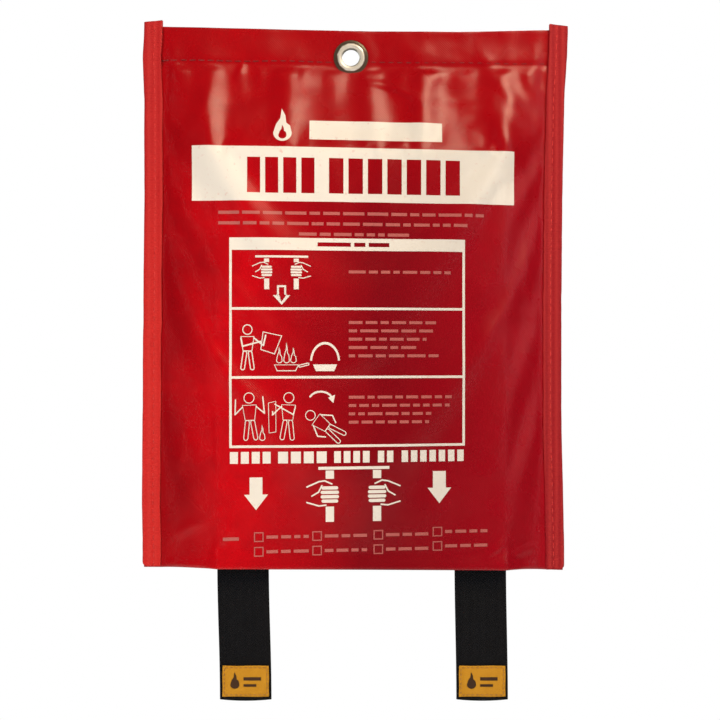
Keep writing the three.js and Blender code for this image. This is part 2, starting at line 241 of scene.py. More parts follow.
class Finish:
    """Short calls for building one material's nodes. Places and sizes are in millimetres."""

    SOCKETS = {
        "specular": "Specular IOR Level",
        "sheen": "Sheen Weight",
        "sheen_roughness": "Sheen Roughness",
    }

    def __init__(self, name, colour, roughness, metallic=0.0, **even):
        """even gives the shader's other values, which are the same all over."""
        self.material = bpy.data.materials.new(name)
        self.material.use_nodes = True
        self.tree = self.material.node_tree
        self.shader = self.tree.nodes["Principled BSDF"]
        values = {"Base Color": (*colour, 1), "Roughness": roughness, "Metallic": metallic}
        values.update({self.SOCKETS[key]: value for key, value in even.items()})
        for socket, value in values.items():
            self.shader.inputs[socket].default_value = value
        self.place = self.add("ShaderNodeVectorMath", operation="SCALE").outputs[0]
        self.join(self.add("ShaderNodeTexCoord").outputs["Object"], self.place.node.inputs[0])
        self.place.node.inputs["Scale"].default_value = 1 / MM
        split = self.add("ShaderNodeSeparateXYZ")
        self.join(self.place, split.inputs[0])
        self.x, _, self.z = split.outputs

    def add(self, kind, **settings):
        node = self.tree.nodes.new(kind)
        for key, value in settings.items():
            setattr(node, key, value)
        return node

    def join(self, source, target):
        """Links a socket, or sets a plain value."""
        if isinstance(source, bpy.types.NodeSocket):
            self.tree.links.new(source, target)
        else:
            target.default_value = source

    def calc(self, operation, a, b=0.0):
        """The result of one sum on two numbers."""
        node = self.add("ShaderNodeMath", operation=operation)
        self.join(a, node.inputs[0])
        self.join(b, node.inputs[1])
        return node.outputs[0]

    def noise(self, size, detail=3.0, stretch=(1, 1, 1)):
        """Noise from 0 to 1 whose blotches are about size across."""
        squeeze = self.add("ShaderNodeVectorMath", operation="MULTIPLY")
        self.join(self.place, squeeze.inputs[0])
        squeeze.inputs[1].default_value = [1 / s for s in stretch]
        node = self.add("ShaderNodeTexNoise")
        self.join(squeeze.outputs[0], node.inputs["Vector"])
        node.inputs["Scale"].default_value = 1 / size
        node.inputs["Detail"].default_value = detail
        return node.outputs["Fac"]

    def wandering(self, value, size, swing):
        """A value that noise carries up and down by as much as swing."""
        return self.calc("ADD", value, self.ramp(self.noise(size), -swing, swing))

    def ripple(self, along, pitch):
        """A sine wave from -1 to 1 along a coordinate."""
        return self.calc("SINE", self.calc("MULTIPLY", along, 2 * math.pi / pitch))

    def weave(self, pitch):
        """A plain weave from -1 to 1."""
        return self.calc("MULTIPLY", self.ripple(self.x, pitch), self.ripple(self.z, pitch))

    def ramp(self, value, low, high, from_low=0.0, from_high=1.0):
        """low to high as value goes from from_low to from_high, and no further."""
        node = self.add("ShaderNodeMapRange")
        limits = {"From Min": from_low, "From Max": from_high, "To Min": low, "To Max": high}
        for socket, limit in limits.items():
            node.inputs[socket].default_value = limit
        self.join(value, node.inputs["Value"])
        return node.outputs["Result"]

    def blend(self, share, a, b):
        """A colour between a and b."""
        node = self.add("ShaderNodeMix", data_type="RGBA")
        self.join(share, node.inputs["Factor"])
        for source, index in ((a, 6), (b, 7)):  # the colour sockets A and B, whose names aren't unique
            self.join((*source, 1) if isinstance(source, tuple) else source, node.inputs[index])
        return node.outputs[2]

    def colour(self, source):
        self.join(source, self.shader.inputs["Base Color"])

    def roughness(self, size, detail, low, high):
        """Roughness from low to high, in blotches."""
        self.join(self.ramp(self.noise(size, detail), low, high), self.shader.inputs["Roughness"])

    def bump(self, height, size, strength):
        """Adds a bump whose full height is size, on top of any earlier one."""
        node = self.add("ShaderNodeBump")
        node.inputs["Strength"].default_value = strength
        node.inputs["Distance"].default_value = size * MM
        self.join(height, node.inputs["Height"])
        earlier = self.shader.inputs["Normal"].links
        if earlier:
            self.join(earlier[0].from_socket, node.inputs["Normal"])
        self.join(node.outputs["Normal"], self.shader.inputs["Normal"])


# The coated cloth's colours (linear red, green, blue, as all here). The first five paint light and shade on
# the front.
CLOTH_PAINTED_LIT_LEFT = (0.56, 0.0012, 0.006)
CLOTH_PAINTED_SHADE_MIDDLE = (0.21, 0.0008, 0.006)
CLOTH_PAINTED_SHEEN_RIGHT = (0.34, 0.0010, 0.009)
CLOTH_PAINTED_SHADE_SEAM = (0.31, 0.0005, 0.004)
CLOTH_PAINTED_LIT_TOP = (0.36, 0.0010, 0.004)
CLOTH_MOTTLE = (0.24, 0.0006, 0.004)
CLOTH_BACK_TONES = ((0.30, 0.0010, 0.006), (0.50, 0.0014, 0.006))
CLOTH_WEAVE = 1.15
TAPE_TONES = ((0.48, 0.010, 0.013), (0.64, 0.024, 0.020))
# Painted shade on the tape towards the right and towards the top, and painted highlights along its ribs.
TAPE_PAINTED_SHADE_RIGHT = (0.30, 0.006, 0.013)
TAPE_PAINTED_SHADE_TOP = (0.34, 0.009, 0.014)
TAPE_RIB_HIGHLIGHT = (0.62, 0.045, 0.040)
TAPE_RIB = 3.1
NICKEL_TONES = ((0.98, 0.95, 0.87), (0.82, 0.79, 0.70))
# Painted shade for the eyelet's outer rim and its bore.
NICKEL_PAINTED_SHADE_RIM = (0.12, 0.10, 0.07)
NICKEL_PAINTED_SHADE_BORE = (0.14, 0.135, 0.10)


def coated_cloth(name, front):
    """Red PVC-coated woven cloth, glossy over its weave. The front's colour holds painted light and shade."""
    finish = Finish(name, (0.42, 0.004, 0.012), 0.3, specular=0.5)
    if front:
        # Painted light at the packet's left edge, painted shade in the middle, and painted light and sheen to
        # the right.
        across = finish.wandering(finish.x, 45, 22)
        from_left = finish.ramp(across, 0, 1, packet_low[0] + 12, 8)
        sheen_to_right = finish.ramp(across, 0, 1, 22, packet_high[0] + 8)
        # Painted shade by the left seam.
        shade_at_seam = finish.ramp(across, 1, 0, SEAM_LEFT + 4, packet_low[0] + 6)
        # Painted light over the top.
        lit_near_top = finish.ramp(finish.wandering(finish.z, 30, 14), 0, 0.85, -85, -30)
        tone = finish.blend(from_left, CLOTH_PAINTED_LIT_LEFT, CLOTH_PAINTED_SHADE_MIDDLE)
        tone = finish.blend(sheen_to_right, tone, CLOTH_PAINTED_SHEEN_RIGHT)
        tone = finish.blend(shade_at_seam, tone, CLOTH_PAINTED_SHADE_SEAM)
        tone = finish.blend(lit_near_top, tone, CLOTH_PAINTED_LIT_TOP)
    else:
        tone = finish.blend(finish.noise(50, 4), *CLOTH_BACK_TONES)
    mottle = finish.ramp(finish.noise(7, 6), 0, 0.35, 0.35, 0.8)
    finish.colour(finish.blend(mottle, tone, CLOTH_MOTTLE))
    finish.roughness(14, 5, 0.22, 0.34)
    finish.bump(finish.weave(CLOTH_WEAVE), 0.05, 0.6)
    finish.bump(finish.noise(2.6, 4), 0.10, 0.5)
    return finish.material


def binding_tape():
    """Bright red woven tape, matte, with ribs down its length and fine weft across it."""
    finish = Finish("binding_tape", (0.58, 0.02, 0.02), 0.75, specular=0.3, sheen=0.08, sheen_roughness=0.5)
    tape = finish.blend(finish.noise(9, 5, stretch=(1, 1, 2.5)), *TAPE_TONES)
    # Painted shade, darker towards the right and towards the top.
    tape = finish.blend(finish.ramp(finish.x, 0, 0.95, -10, 80), tape, TAPE_PAINTED_SHADE_RIGHT)
    tape = finish.blend(finish.ramp(finish.z, 0, 0.6, -170, -10), tape, TAPE_PAINTED_SHADE_TOP)
    # Painted highlights along the ribs' crests.
    rib_highlights = finish.ramp(finish.ripple(finish.x, TAPE_RIB), 0, 0.3, -1, 1)
    finish.colour(finish.blend(rib_highlights, tape, TAPE_RIB_HIGHLIGHT))
    finish.bump(finish.ripple(finish.x, TAPE_RIB), 0.10, 0.6)
    finish.bump(finish.ripple(finish.z, 0.8), 0.08, 0.6)
    finish.bump(finish.noise(0.9, 4), 0.12, 0.6)
    return finish.material


def thread(name, colour):
    """Twisted sewing thread, paler where its fibres catch the light."""
    finish = Finish(name, colour, 0.7, sheen=0.3)
    pale = tuple(min(1.0, c * 1.8 + 0.01) for c in colour)
    finish.colour(finish.blend(finish.noise(0.7), colour, pale))
    finish.bump(finish.ripple(finish.calc("ADD", finish.x, finish.z), 0.35), 0.05, 0.7)
    return finish.material


def nickel():
    """Nickel plate, tarnished and scratched, bright on its crown, with painted shade at its rim and in its
    bore.
    """
    finish = Finish("nickel_plate", (0.66, 0.62, 0.55), 0.24, 0.5)
    tarnish = finish.noise(2.4, 5)
    plate = finish.blend(finish.ramp(tarnish, 0, 1, 0.35, 0.75), *NICKEL_TONES)
    squares = finish.calc("ADD", finish.calc("POWER", finish.x, 2.0), finish.calc("POWER", finish.z, 2.0))
    radius = finish.calc("SQRT", squares)
    # Painted shade over the outer rim, where the flange slopes away, and in the bore.
    rim = finish.ramp(finish.calc("ADD", radius, finish.ramp(tarnish, -0.5, 0.5)), 0, 1, 6.3, 6.9)
    bore = finish.ramp(radius, 0.8, 0, 4.2, 4.8)
    finish.colour(finish.blend(bore, finish.blend(rim, plate, NICKEL_PAINTED_SHADE_RIM), NICKEL_PAINTED_SHADE_BORE))
    finish.roughness(0.8, 6, 0.26, 0.5)
    finish.bump(finish.noise(0.5, 5), 0.02, 0.4)
    return finish.material


def glass_cloth():
    """Off-white glass-fibre cloth in a satin weave, softly dented."""
    finish = Finish("glass_cloth", (0.78, 0.74, 0.66), 0.6, sheen=0.2)
    finish.colour(finish.blend(finish.noise(30, 4), (0.72, 0.68, 0.58), (0.84, 0.81, 0.74)))
    finish.roughness(5, 3, 0.5, 0.72)
    twill = finish.ripple(finish.calc("ADD", finish.x, finish.z), 1.8)
    finish.bump(finish.calc("MULTIPLY", twill, finish.ripple(finish.x, 0.9)), 0.16, 0.9)
    finish.bump(finish.noise(11, 3, stretch=(1, 1, 1.6)), 1.4, 0.8)
    return finish.material


def webbing():
    """Black polypropylene webbing: a chevron weave, over ribs down its length."""
    finish = Finish("webbing", (0.008, 0.009, 0.013), 0.7, specular=0.22, sheen=0.04, sheen_roughness=0.45)
    finish.colour(finish.blend(finish.noise(6, 6), (0.0018, 0.0022, 0.0036), (0.0042, 0.005, 0.0075)))
    chevron = finish.calc("ADD", finish.z, finish.calc("PINGPONG", finish.x, 2.1))
    finish.bump(finish.ripple(chevron, 1.4), 0.10, 0.8)
    finish.bump(finish.ripple(finish.x, 0.7), 0.06, 0.7)
    return finish.material


def label_cloth():
    """Mustard satin label ribbon."""
    finish = Finish("label_cloth", (0.47, 0.22, 0.015), 0.6, specular=0.3)
    finish.colour(finish.blend(finish.noise(5, 4), (0.50, 0.22, 0.010), (0.64, 0.32, 0.022)))
    finish.bump(finish.weave(0.4), 0.05, 0.7)
    return finish.material


def ink(name, colour, worn):
    """Screen-printed ink, rubbed here and there, over the cloth's weave, with painted shade right of the
    eyelet.
    """
    finish = Finish(name, colour, 0.42)
    printed = finish.blend(finish.ramp(finish.noise(2.2, 6), 0, 1, 0.62, 0.8), colour, worn)
    # Painted shade, darkest about 45 mm right of the eyelet, fading over some 50 mm.
    from_shade_middle = finish.calc("ABSOLUTE", finish.calc("ADD", finish.x, -45.0))
    painted_shade = finish.ramp(finish.wandering(from_shade_middle, 30, 14), 0.55, 0, 5, 55)
    finish.colour(finish.blend(painted_shade, printed, tuple(c * 0.68 for c in colour)))
    finish.roughness(8, 4, 0.34, 0.5)
    finish.bump(finish.weave(0.95), 0.03, 0.4)
    return finish.material


CLOTH_RED = coated_cloth("coated_cloth_front", True)
CLOTH_RED_BACK = coated_cloth("coated_cloth_back", False)
TAPE_RED = binding_tape()
THREAD_RED = thread("thread_red", (0.13, 0.003, 0.004))
THREAD_TAPE = thread("thread_tape", (0.46, 0.014, 0.014))
THREAD_BLACK = thread("thread_black", (0.008, 0.008, 0.010))
THREAD_MUSTARD = thread("thread_mustard", (0.30, 0.13, 0.010))
NICKEL = nickel()
GLASS_CLOTH = glass_cloth()
WEBBING = webbing()
LABEL = label_cloth()
INK_WHITE = ink("ink_white", (0.84, 0.81, 0.75), (0.74, 0.52, 0.48))
INK_PALE = ink("ink_pale", (0.50, 0.13, 0.12), (0.40, 0.06, 0.06))
INK_BROWN = ink("ink_brown", (0.055, 0.026, 0.012), (0.12, 0.06, 0.02))


# ---------------------------------------------------------------- the pouch's surfaces


def ease(t):
    """From 0 to 1 as t does, smoothly."""
    t = np.clip(t, 0, 1)
    return t * t * (3 - 2 * t)


def rise(t, soft):
    """From 0 to 1 as t does, straight between, with both corners rounded."""
    return soft * np.logaddexp(0, t / soft) - soft * np.logaddexp(0, (t - 1) / soft)


def hump(value, middle, reach):
    """1 at the middle, dying away over reach on both sides."""
    return np.exp(-(((value - middle) / reach) ** 2))


def bumpy(x, z, size, seed):
    """Smooth noise from about -1 to 1, worked out point by point."""
    flat = np.stack([x.ravel() / size, z.ravel() / size], axis=1)
    values = [noise.noise(Vector((a, b, seed))) for a, b in flat]
    return np.array(values).reshape(x.shape)


def wobble(z, size, seed, row=0):
    """Smooth noise from about -1 to 1 along a height."""
    return noise.noise(Vector((z / size, seed, row)))


def stations(low, high, spacing):
    """Even steps from low to high, about spacing apart."""
    return np.linspace(low, high, int(round(abs(high - low) / spacing)) + 1)


def off_seams(x, reach, margin=1.0):
    """0 within a margin of the side seams, rising to 1 over reach."""
    return ease((x - SEAM_LEFT - margin) / reach) * ease((SEAM_RIGHT - margin - x) / reach)


def off_eyelet(x, z):
    """0 under the eyelet's flange, 1 clear of it."""
    return ease((np.hypot(x, z) - 9.5) / 6)


# Creases: start, a point that bends it, end (across, up), half width, height. They follow the slack above the
# packet, the packet's corners and the pull of the seams.
CREASES = [
    ((6, -12), (22, -12), (36, -23), 1.7, 1.25),
    ((-53, -3), (-52, -6), (-57, -13), 1.5, 0.9),
    ((-10, -10), (-30, -16), (-62, -34), 5.0, 0.8),
    ((-60, -8), (-72, -22), (-82, -44), 4.0, 0.7),
    ((67, -6), (70, -28), (71, -56), 10.0, 2.3),
    ((30, -6), (34, -22), (36, -44), 7.0, 1.2),
    ((62, 4), (74, -14), (84, -34), 3.6, 0.8),
    ((70, -30), (80, -46), (87, -70), 3.4, 0.7),
    ((30, -24), (56, -28), (86, -20), 3.0, 0.6),
    ((-84, -30), (-79, -60), (-84, -96), 3.2, 0.6),
    ((84, -84), (88, -104), (86, -128), 2.4, 0.5),
    ((82, -120), (88, -128), (93, -126), 1.5, 0.55),
    ((80, -141), (86, -147), (92, -149), 1.5, 0.5),
    ((60, -247), (70, -240), (77, -232), 2.0, 0.9),
    ((74, -245), (82, -240), (91, -237), 1.8, 0.8),
    ((-66, -240), (-60, -234), (-58, -226), 1.6, 0.8),
    ((-88, -236), (-80, -228), (-70, -226), 2.6, 0.5),
    ((-86, -206), (-80, -188), (-76, -170), 3.0, 0.5),
    ((58, -90), (70, -150), (62, -214), 6.0, 0.4),
    ((-30, -30), (0, -38), (40, -36), 4.0, -0.5),
]
CREASE_STEPS = 14


def crease(x, z, start, bend, end, width, height):
    """One crease's relief: a soft ridge along a bent line, fading at both ends."""
    t = np.linspace(0, 1, CREASE_STEPS + 1)[:, None]
    line = (1 - t) ** 2 * np.array(start) + 2 * t * (1 - t) * np.array(bend) + t**2 * np.array(end)
    nearest = np.full(x.shape, np.inf)
    along = np.zeros(x.shape)
    for i, ((ax, az), (bx, bz)) in enumerate(zip(line, line[1:])):
        dx, dz = bx - ax, bz - az
        share = np.clip(((x - ax) * dx + (z - az) * dz) / (dx * dx + dz * dz), 0, 1)
        distance = np.hypot(x - ax - share * dx, z - az - share * dz)
        closer = distance < nearest
        nearest = np.where(closer, distance, nearest)
        along = np.where(closer, (i + share) / CREASE_STEPS, along)
    fade = np.sin(np.pi * np.clip(along, 0.02, 0.98)) ** 0.7
    return height * hump(nearest, 0, width) * fade


RIDGE_HIGH_LEFT = packet_low[0] - 5.5
RIDGE_LOW_LEFT = packet_low[0] + 3.0
RIDGE_RIGHT = packet_high[0] + 1.5
BULGE_TOP = eyelet_low[2] - 0.5
BULGE_FULL = packet_high[2] + 2.0
PILLOW_HALF_WIDTH = 78
PILLOW_RISE = 60  # the pillow is less full for this far above the mouth


def fullness(x, z):
    """The front panel's share of its full bulge: straight from each seam to the packet's edge, then flat."""
    lower = ease((packet_high[2] - 95 - z) / 55)
    ridge_left = RIDGE_HIGH_LEFT + (RIDGE_LOW_LEFT - RIDGE_HIGH_LEFT) * lower
    from_left = rise((x - SEAM_LEFT - 1) / (ridge_left - SEAM_LEFT - 1), 0.07)
    from_right = rise((SEAM_RIGHT - 1 - x) / (SEAM_RIGHT - 1 - RIDGE_RIGHT), 0.10)
    from_top = rise((BULGE_TOP - z) / (BULGE_TOP - BULGE_FULL), 0.12)
    return from_left * from_right * off_seams(x, 6, -1.5) * ease(from_top * 1.02)


def taut_depth(x, z):
    """The front panel's outer face, as far in front of the wall as the packet holds it."""
    full = fullness(x, z)
    depth = SEAM_FRONT + (FULL_FRONT - SEAM_FRONT) * full
    packet_middle = (packet_low[0] + packet_high[0]) / 2
    pillow = 1 - np.clip(np.abs(x - packet_middle) / PILLOW_HALF_WIDTH, 0, 1) ** 2
    return depth + PILLOW * pillow * full * (0.35 + 0.65 * ease((z - MOUTH) / PILLOW_RISE))


SIM_SCALE = 10.0  # the cloth is settled at ten times its size, where the solver is steadier
SIM_CELL = 3.0
SIM_FRAMES = 45
SLACK = 0.010  # the cloth is cut this much larger than the space it spans
SLACK_BELOW = 0.0005
SLACK_END = -52.0  # below this height the cloth is nearly taut
SETTLED_LIMIT = 3.5
MOUTH_HOLD = 0.05
CLOTH_VALUES = {
    "quality": 8,
    "mass": 0.35,
    "tension_stiffness": 40,
    "compression_stiffness": 40,
    "shear_stiffness": 15,
    "bending_stiffness": 8,
    "air_damping": 4,
    "vertex_group_mass": "held",
    "pin_stiffness": 1,
    "vertex_group_shrink": "taut",
    "shrink_min": -SLACK,
    "shrink_max": -SLACK_BELOW,
}
COLLIDER_STEPS = 61
COLLIDER_ROUNDING = 4.0
COLLIDER_INSET = 1.3
PACKET_CLEARANCE = 0.35
MOUTH_FLARE = 1.8  # the mouth stands open this much further than the packet needs


def packet_collider():
    """The folded packet, as a pillow-shaped body for the cloth to lie on."""
    low = np.array([packet_low[0], packet_low[2]])
    size = np.array([packet_high[0], packet_high[2]]) - low
    across = np.linspace(0, 1, COLLIDER_STEPS)
    points = []
    for v in across:
        for u in across:
            x, z = low + size * (u, v)
            edge = min(u * size[0], (1 - u) * size[0], (1 - v) * size[1], COLLIDER_ROUNDING)
            rounded = COLLIDER_ROUNDING * (1 - math.sqrt(max(0.0, 1 - (1 - edge / COLLIDER_ROUNDING) ** 2)))
            pillow = PILLOW * (1 - (2 * u - 1) ** 2) * float(ease((z - MOUTH) / PILLOW_RISE))
            points.append(Vector((x, -(FULL_FRONT - COLLIDER_INSET + pillow - rounded), z)) * MM * SIM_SCALE)
    obj = mesh_object("packet_collider", points, grid_faces(COLLIDER_STEPS, COLLIDER_STEPS))
    collision = obj.modifiers.new("collision", "COLLISION")
    collision.settings.thickness_outer = 0.006
    collision.settings.cloth_friction = 4
    return obj


def add_cloth(obj, rows, columns, heights):
    """Holds the sheet by its top row and both sides, faintly by its mouth, and makes it cloth."""
    row, column = np.divmod(np.arange(rows * columns), columns)
    held = (row == 0) | (column == 0) | (column == columns - 1)
    group = obj.vertex_groups.new(name="held")
    group.add(np.flatnonzero(held).tolist(), 1.0, "ADD")
    group.add(np.flatnonzero((row == rows - 1) & ~held).tolist(), MOUTH_HOLD, "ADD")
    taut = obj.vertex_groups.new(name="taut")
    for i, height in enumerate(heights):
        taut.add([i], float(ease((SLACK_END - height) / 45)), "REPLACE")
    cloth = obj.modifiers.new("cloth", "CLOTH")
    for key, value in CLOTH_VALUES.items():
        setattr(cloth.settings, key, value)
    cloth.collision_settings.distance_min = 0.004
    cloth.collision_settings.use_self_collision = False
    cloth.point_cache.frame_start, cloth.point_cache.frame_end = 1, SIM_FRAMES


def settle_front():
    """Cloth simulation of the front panel: sewn at its sides and hem, loose at its mouth, over the packet.
    Returns its places across and up, and how far it ends up in front of its taut shape."""
    across = stations(SEAM_LEFT + 0.5, SEAM_RIGHT - 0.5, SIM_CELL)
    up = stations(HEM_LINE - 1, MOUTH, SIM_CELL)
    x, z = np.meshgrid(across, up)
    ripple = 0.25 * bumpy(x, z, 14, 31.3)
    start = np.stack([x, -(taut_depth(x, z) + 0.5 + ripple), z], axis=2).reshape(-1, 3)
    faces = grid_faces(len(up), len(across))
    obj = mesh_object("settling", (start * MM * SIM_SCALE).tolist(), faces)
    collider = packet_collider()
    add_cloth(obj, len(up), len(across), start[:, 2])
    scene = bpy.context.scene
    scene.frame_start, scene.frame_end = 1, SIM_FRAMES
    for number in range(1, SIM_FRAMES + 1):
        scene.frame_set(number)
    evaluated = obj.evaluated_get(bpy.context.evaluated_depsgraph_get())
    settled = np.array([v.co for v in evaluated.data.vertices]) / MM / SIM_SCALE
    relief = (-settled[:, 1]).reshape(x.shape) - taut_depth(x, z)
    for done in (obj, collider):
        bpy.data.objects.remove(done, do_unlink=True)
    scene.frame_set(1)
    return across, up, np.clip(relief, -SETTLED_LIMIT, SETTLED_LIMIT)


def catmull_rom(values, place):
    """Smooth interpolation along the first axis of an array, at fractional indices."""
    index = np.clip(np.floor(place).astype(int), 0, len(values) - 2)
    t = (place - index)[:, None]
    around = [values[np.clip(index + k, 0, len(values) - 1)] for k in (-1, 0, 1, 2)]
    weights = (-t + 2 * t**2 - t**3, 2 - 5 * t**2 + 3 * t**3, t + 4 * t**2 - 3 * t**3, -(t**2) + t**3)
    return sum(w * v for w, v in zip(weights, around)) / 2


def settled_relief(x, z):
    """The settled cloth's relief, on a grid with one height to a row and one place across to a column."""
    across, up, relief = SETTLED
    row = np.clip((z[:, 0] - up[0]) / (up[1] - up[0]), 0, len(up) - 1)
    column = np.clip((x[0] - across[0]) / (across[1] - across[0]), 0, len(across) - 1)
    fine = catmull_rom(catmull_rom(relief, row).T, column).T
    return fine * ease((HEM_LINE - z) / 5)


def front_waves(x, z):
    """The front panel's slack: soft waves, a fuller band under the hem, and fine crinkles at the right."""
    slack = ease((-22 - z) / 20) * 0.25 + ease((z + 62) / 30) * 0.8
    waves = 0.2 * bumpy(x, z, 26, 3.7) + slack * (0.9 * bumpy(x, z, 25, 9.1) + 0.3 * bumpy(x, z, 10, 5.3))
    from_eyelet = ease((np.hypot(x, z * 0.7) - 11) / 22)
    hem_band = ease((PANEL_TOP - z) / HEM_DEPTH) * ease((z + 26) / 20)
    waves = waves + from_eyelet * hem_band * (1.3 + 1.0 * bumpy(x, z * 0.5, 15, 14.2))
    crinkled = ease((x + 20) / 50) * ease((z + 66) / 30)
    return waves + crinkled * (0.16 * bumpy(x, z, 5.5, 17.2) + 0.22 * bumpy(x * 1.3, z, 11, 19.6))


def front_depth(x, z):
    """How far the front panel's outer face stands in front of the wall."""
    depth = taut_depth(x, z)
    if x.ndim == 2:
        depth = depth + settled_relief(x, z)
    below_flange = off_eyelet(x, z)
    creases = sum(crease(x, z, *values) for values in CREASES)
    relief = below_flange * (front_waves(x, z) + creases)
    mouth_roll = 0.55 * hump(z, MOUTH + 1.5, 1.7) * (1 + 0.5 * bumpy(x, z, 16, 6.6))
    seam_pull = 0.4 * hump(z, HEM_LINE, 1.1)
    depth = depth + off_seams(x, 6) * (relief + mouth_roll) - seam_pull * below_flange
    return clear_of_packet(x, z, depth)


def clear_of_packet(x, z, depth):
    """Keeps the front panel from sinking into the folded blanket."""
    away_across = np.maximum(np.maximum(packet_low[0] - x, x - packet_high[0]), 0)
    away_up = np.maximum(z - packet_high[2], 0)
    flare = MOUTH_FLARE * ease((packet_low[2] + 6 - z) / 12)
    least = -packet_low[1] + CLOTH + PACKET_CLEARANCE + flare - 1.1 * np.hypot(away_across, away_up)
    soft = 0.25
    return least + soft * np.logaddexp(0, (depth - least) / soft)


def back_depth(x, z):
    """How far the back panel's outer face stands in front of the wall."""
    waves = 0.7 * bumpy(x, z, 34, 1.7) + 0.45 * bumpy(x * 1.6, z * 0.7, 17, 4.9) + 0.15 * bumpy(x, z, 7, 8.8)
    return BACK_DEPTH - 0.05 + off_seams(x, 8) * off_eyelet(x, z) * (np.minimum(waves, 0.5) - 0.25)


panel_across = stations(PANEL_LEFT, PANEL_RIGHT, GRID)

# Places across or up, and how far the panel's edge is from its straight line there. The top's left corner
# rides up and its right hangs, and the full pouch draws its sides in.
TOP_SAG = ((PANEL_LEFT, -50, 0, 53, PANEL_RIGHT), (1.9, 0.8, -0.4, -0.8, 0.2))
MOUTH_SAG = ((PANEL_LEFT, 0, 80, PANEL_RIGHT), (0.9, 0.6, 0.2, -0.6))
SIDE_HEIGHTS = (MOUTH, -235, -215, -170, -120, -70, -20, 0, PANEL_TOP)
SIDE_SHIFTS = {
    -1: (0.2, 0.2, -0.1, 0.2, 0.6, 1.1, 1.0, 0.3, 1.0),
    1: (-0.3, -0.3, -0.8, -1.7, -1.6, -1.2, -0.2, 1.1, 1.6),
}
SIDE_REACH = 40  # how far in from a side edge its shift is felt


def side_shift(z, side):
    """How far a side edge is to the right of its straight line."""
    return np.interp(z, SIDE_HEIGHTS, SIDE_SHIFTS[side])


def drawn_in(x, z):
    """Where a point of a panel ends up across, once its sides are drawn in."""
    from_left = ease((PANEL_LEFT + SIDE_REACH - x) / SIDE_REACH)
    from_right = ease((x - PANEL_RIGHT + SIDE_REACH) / SIDE_REACH)
    return x + from_left * side_shift(z, -1) + from_right * side_shift(z, 1)


def panel_path(mouth_fold):
    """A panel's section, as (distance inside its outer face, height): hem, face and folded mouth."""
    fold = (CLOTH + 0.12) / 2
    path = [(2 * fold, z) for z in stations(HEM_LINE + 1, PANEL_TOP - fold, 2.4)[:-1]]
    for angle in np.linspace(0, math.pi, 7)[:-1]:
        path.append((fold * (1 + math.cos(angle)), PANEL_TOP - fold + fold * math.sin(angle)))
    path += [(0, z) for z in stations(PANEL_TOP - fold, MOUTH + mouth_fold, GRID)]
    for angle in np.linspace(0, math.pi, 8)[1:]:
        path.append((mouth_fold * (1 - math.cos(angle)), MOUTH + mouth_fold - mouth_fold * math.sin(angle)))
    path += [(2 * mouth_fold, z) for z in stations(MOUTH + mouth_fold, MOUTH + MOUTH_TURNING, 2.0)[1:]]
    return np.array(path)


def panel_sheet(name, depth_at, inwards, mouth_fold, material):
    """A panel with its hem and folded mouth. inwards is -1 where its inside is towards the wall, or +1."""
    path = panel_path(mouth_fold)
    x = np.tile(panel_across, (len(path), 1))
    z = np.tile(path[:, 1:], (1, len(panel_across)))
    share = ease((z - MOUTH) / (PANEL_TOP - MOUTH))
    dip = share**6 * np.interp(x, *TOP_SAG) + (1 - share) ** 6 * np.interp(x, *MOUTH_SAG)
    depth = depth_at(x, z) + inwards * (CLOTH / 2 + path[:, :1])
    centre = np.stack([drawn_in(x, z), -depth, z + dip], axis=2)
    return shell(name, centre, CLOTH, material)


def punch(obj, radius):
    """Cuts the eyelet's hole through a panel."""
    turn = (math.pi / 2, 0, 0)
    bpy.ops.mesh.primitive_cylinder_add(vertices=64, radius=radius * MM, depth=0.08, rotation=turn)
    cutter = bpy.context.object
    cut = obj.modifiers.new("hole", "BOOLEAN")
    cut.operation = "DIFFERENCE"
    cut.object = cutter
    cut.solver = "EXACT"
    evaluated = obj.evaluated_get(bpy.context.evaluated_depsgraph_get())
    made = bpy.data.meshes.new_from_object(evaluated)
    obj.modifiers.clear()
    obj.data = made
    bpy.data.objects.remove(cutter, do_unlink=True)


def make_panels():
    """Both panels of the pouch. Returns the front one."""
    front = panel_sheet("pouch_front", front_depth, -1, 0.55, CLOTH_RED)
    back = panel_sheet("pouch_back", back_depth, 1, 0.3, CLOTH_RED_BACK)
    for obj, node in ((front, "front_panel"), (back, "back_panel")):
        punch(obj, HOLE_RADIUS)
        fit(obj, "pouch", node)
    return front


# ---------------------------------------------------------------- bindings and seams


def round_corner(centre, radius, start, end, steps=5):
    """Points of an arc in (across, depth), angles in degrees."""
    angles = np.radians(np.linspace(start, end, steps))
    return [(centre[0] + radius * math.cos(a), centre[1] + radius * math.sin(a)) for a in angles]


def tape_swell(z, side):
    """How far the tape's front stands proud at a height."""
    return 0.16 + 0.14 * wobble(z, 9, TAPE_SEEDS[side])


def tape_section(width, back, front):
    """The folded tape's section as (distance from its outer edge, depth), and how many points are outside."""
    edge = 0.05
    outer = [(width, back + edge)] + [(width * f, back) for f in TAPE_COLUMNS]
    outer += round_corner((TAPE_FOLD, back + TAPE_FOLD), TAPE_FOLD, 270, 180)
    outer += round_corner((TAPE_FOLD, front - TAPE_FOLD), TAPE_FOLD, 180, 90)
    outer += [(width * f, front) for f in reversed(TAPE_COLUMNS)] + [(width, front - edge)]
    inner = [(width, front - TAPE + edge), (width * 0.6, front - TAPE), (2.0, front - TAPE)]
    inner += [(TAPE, front - TAPE - 1), (TAPE, back + TAPE + 1)]
    inner += [(2.0, back + TAPE), (width * 0.6, back + TAPE), (width, back + TAPE - edge)]
    return np.array(outer + inner), len(outer)


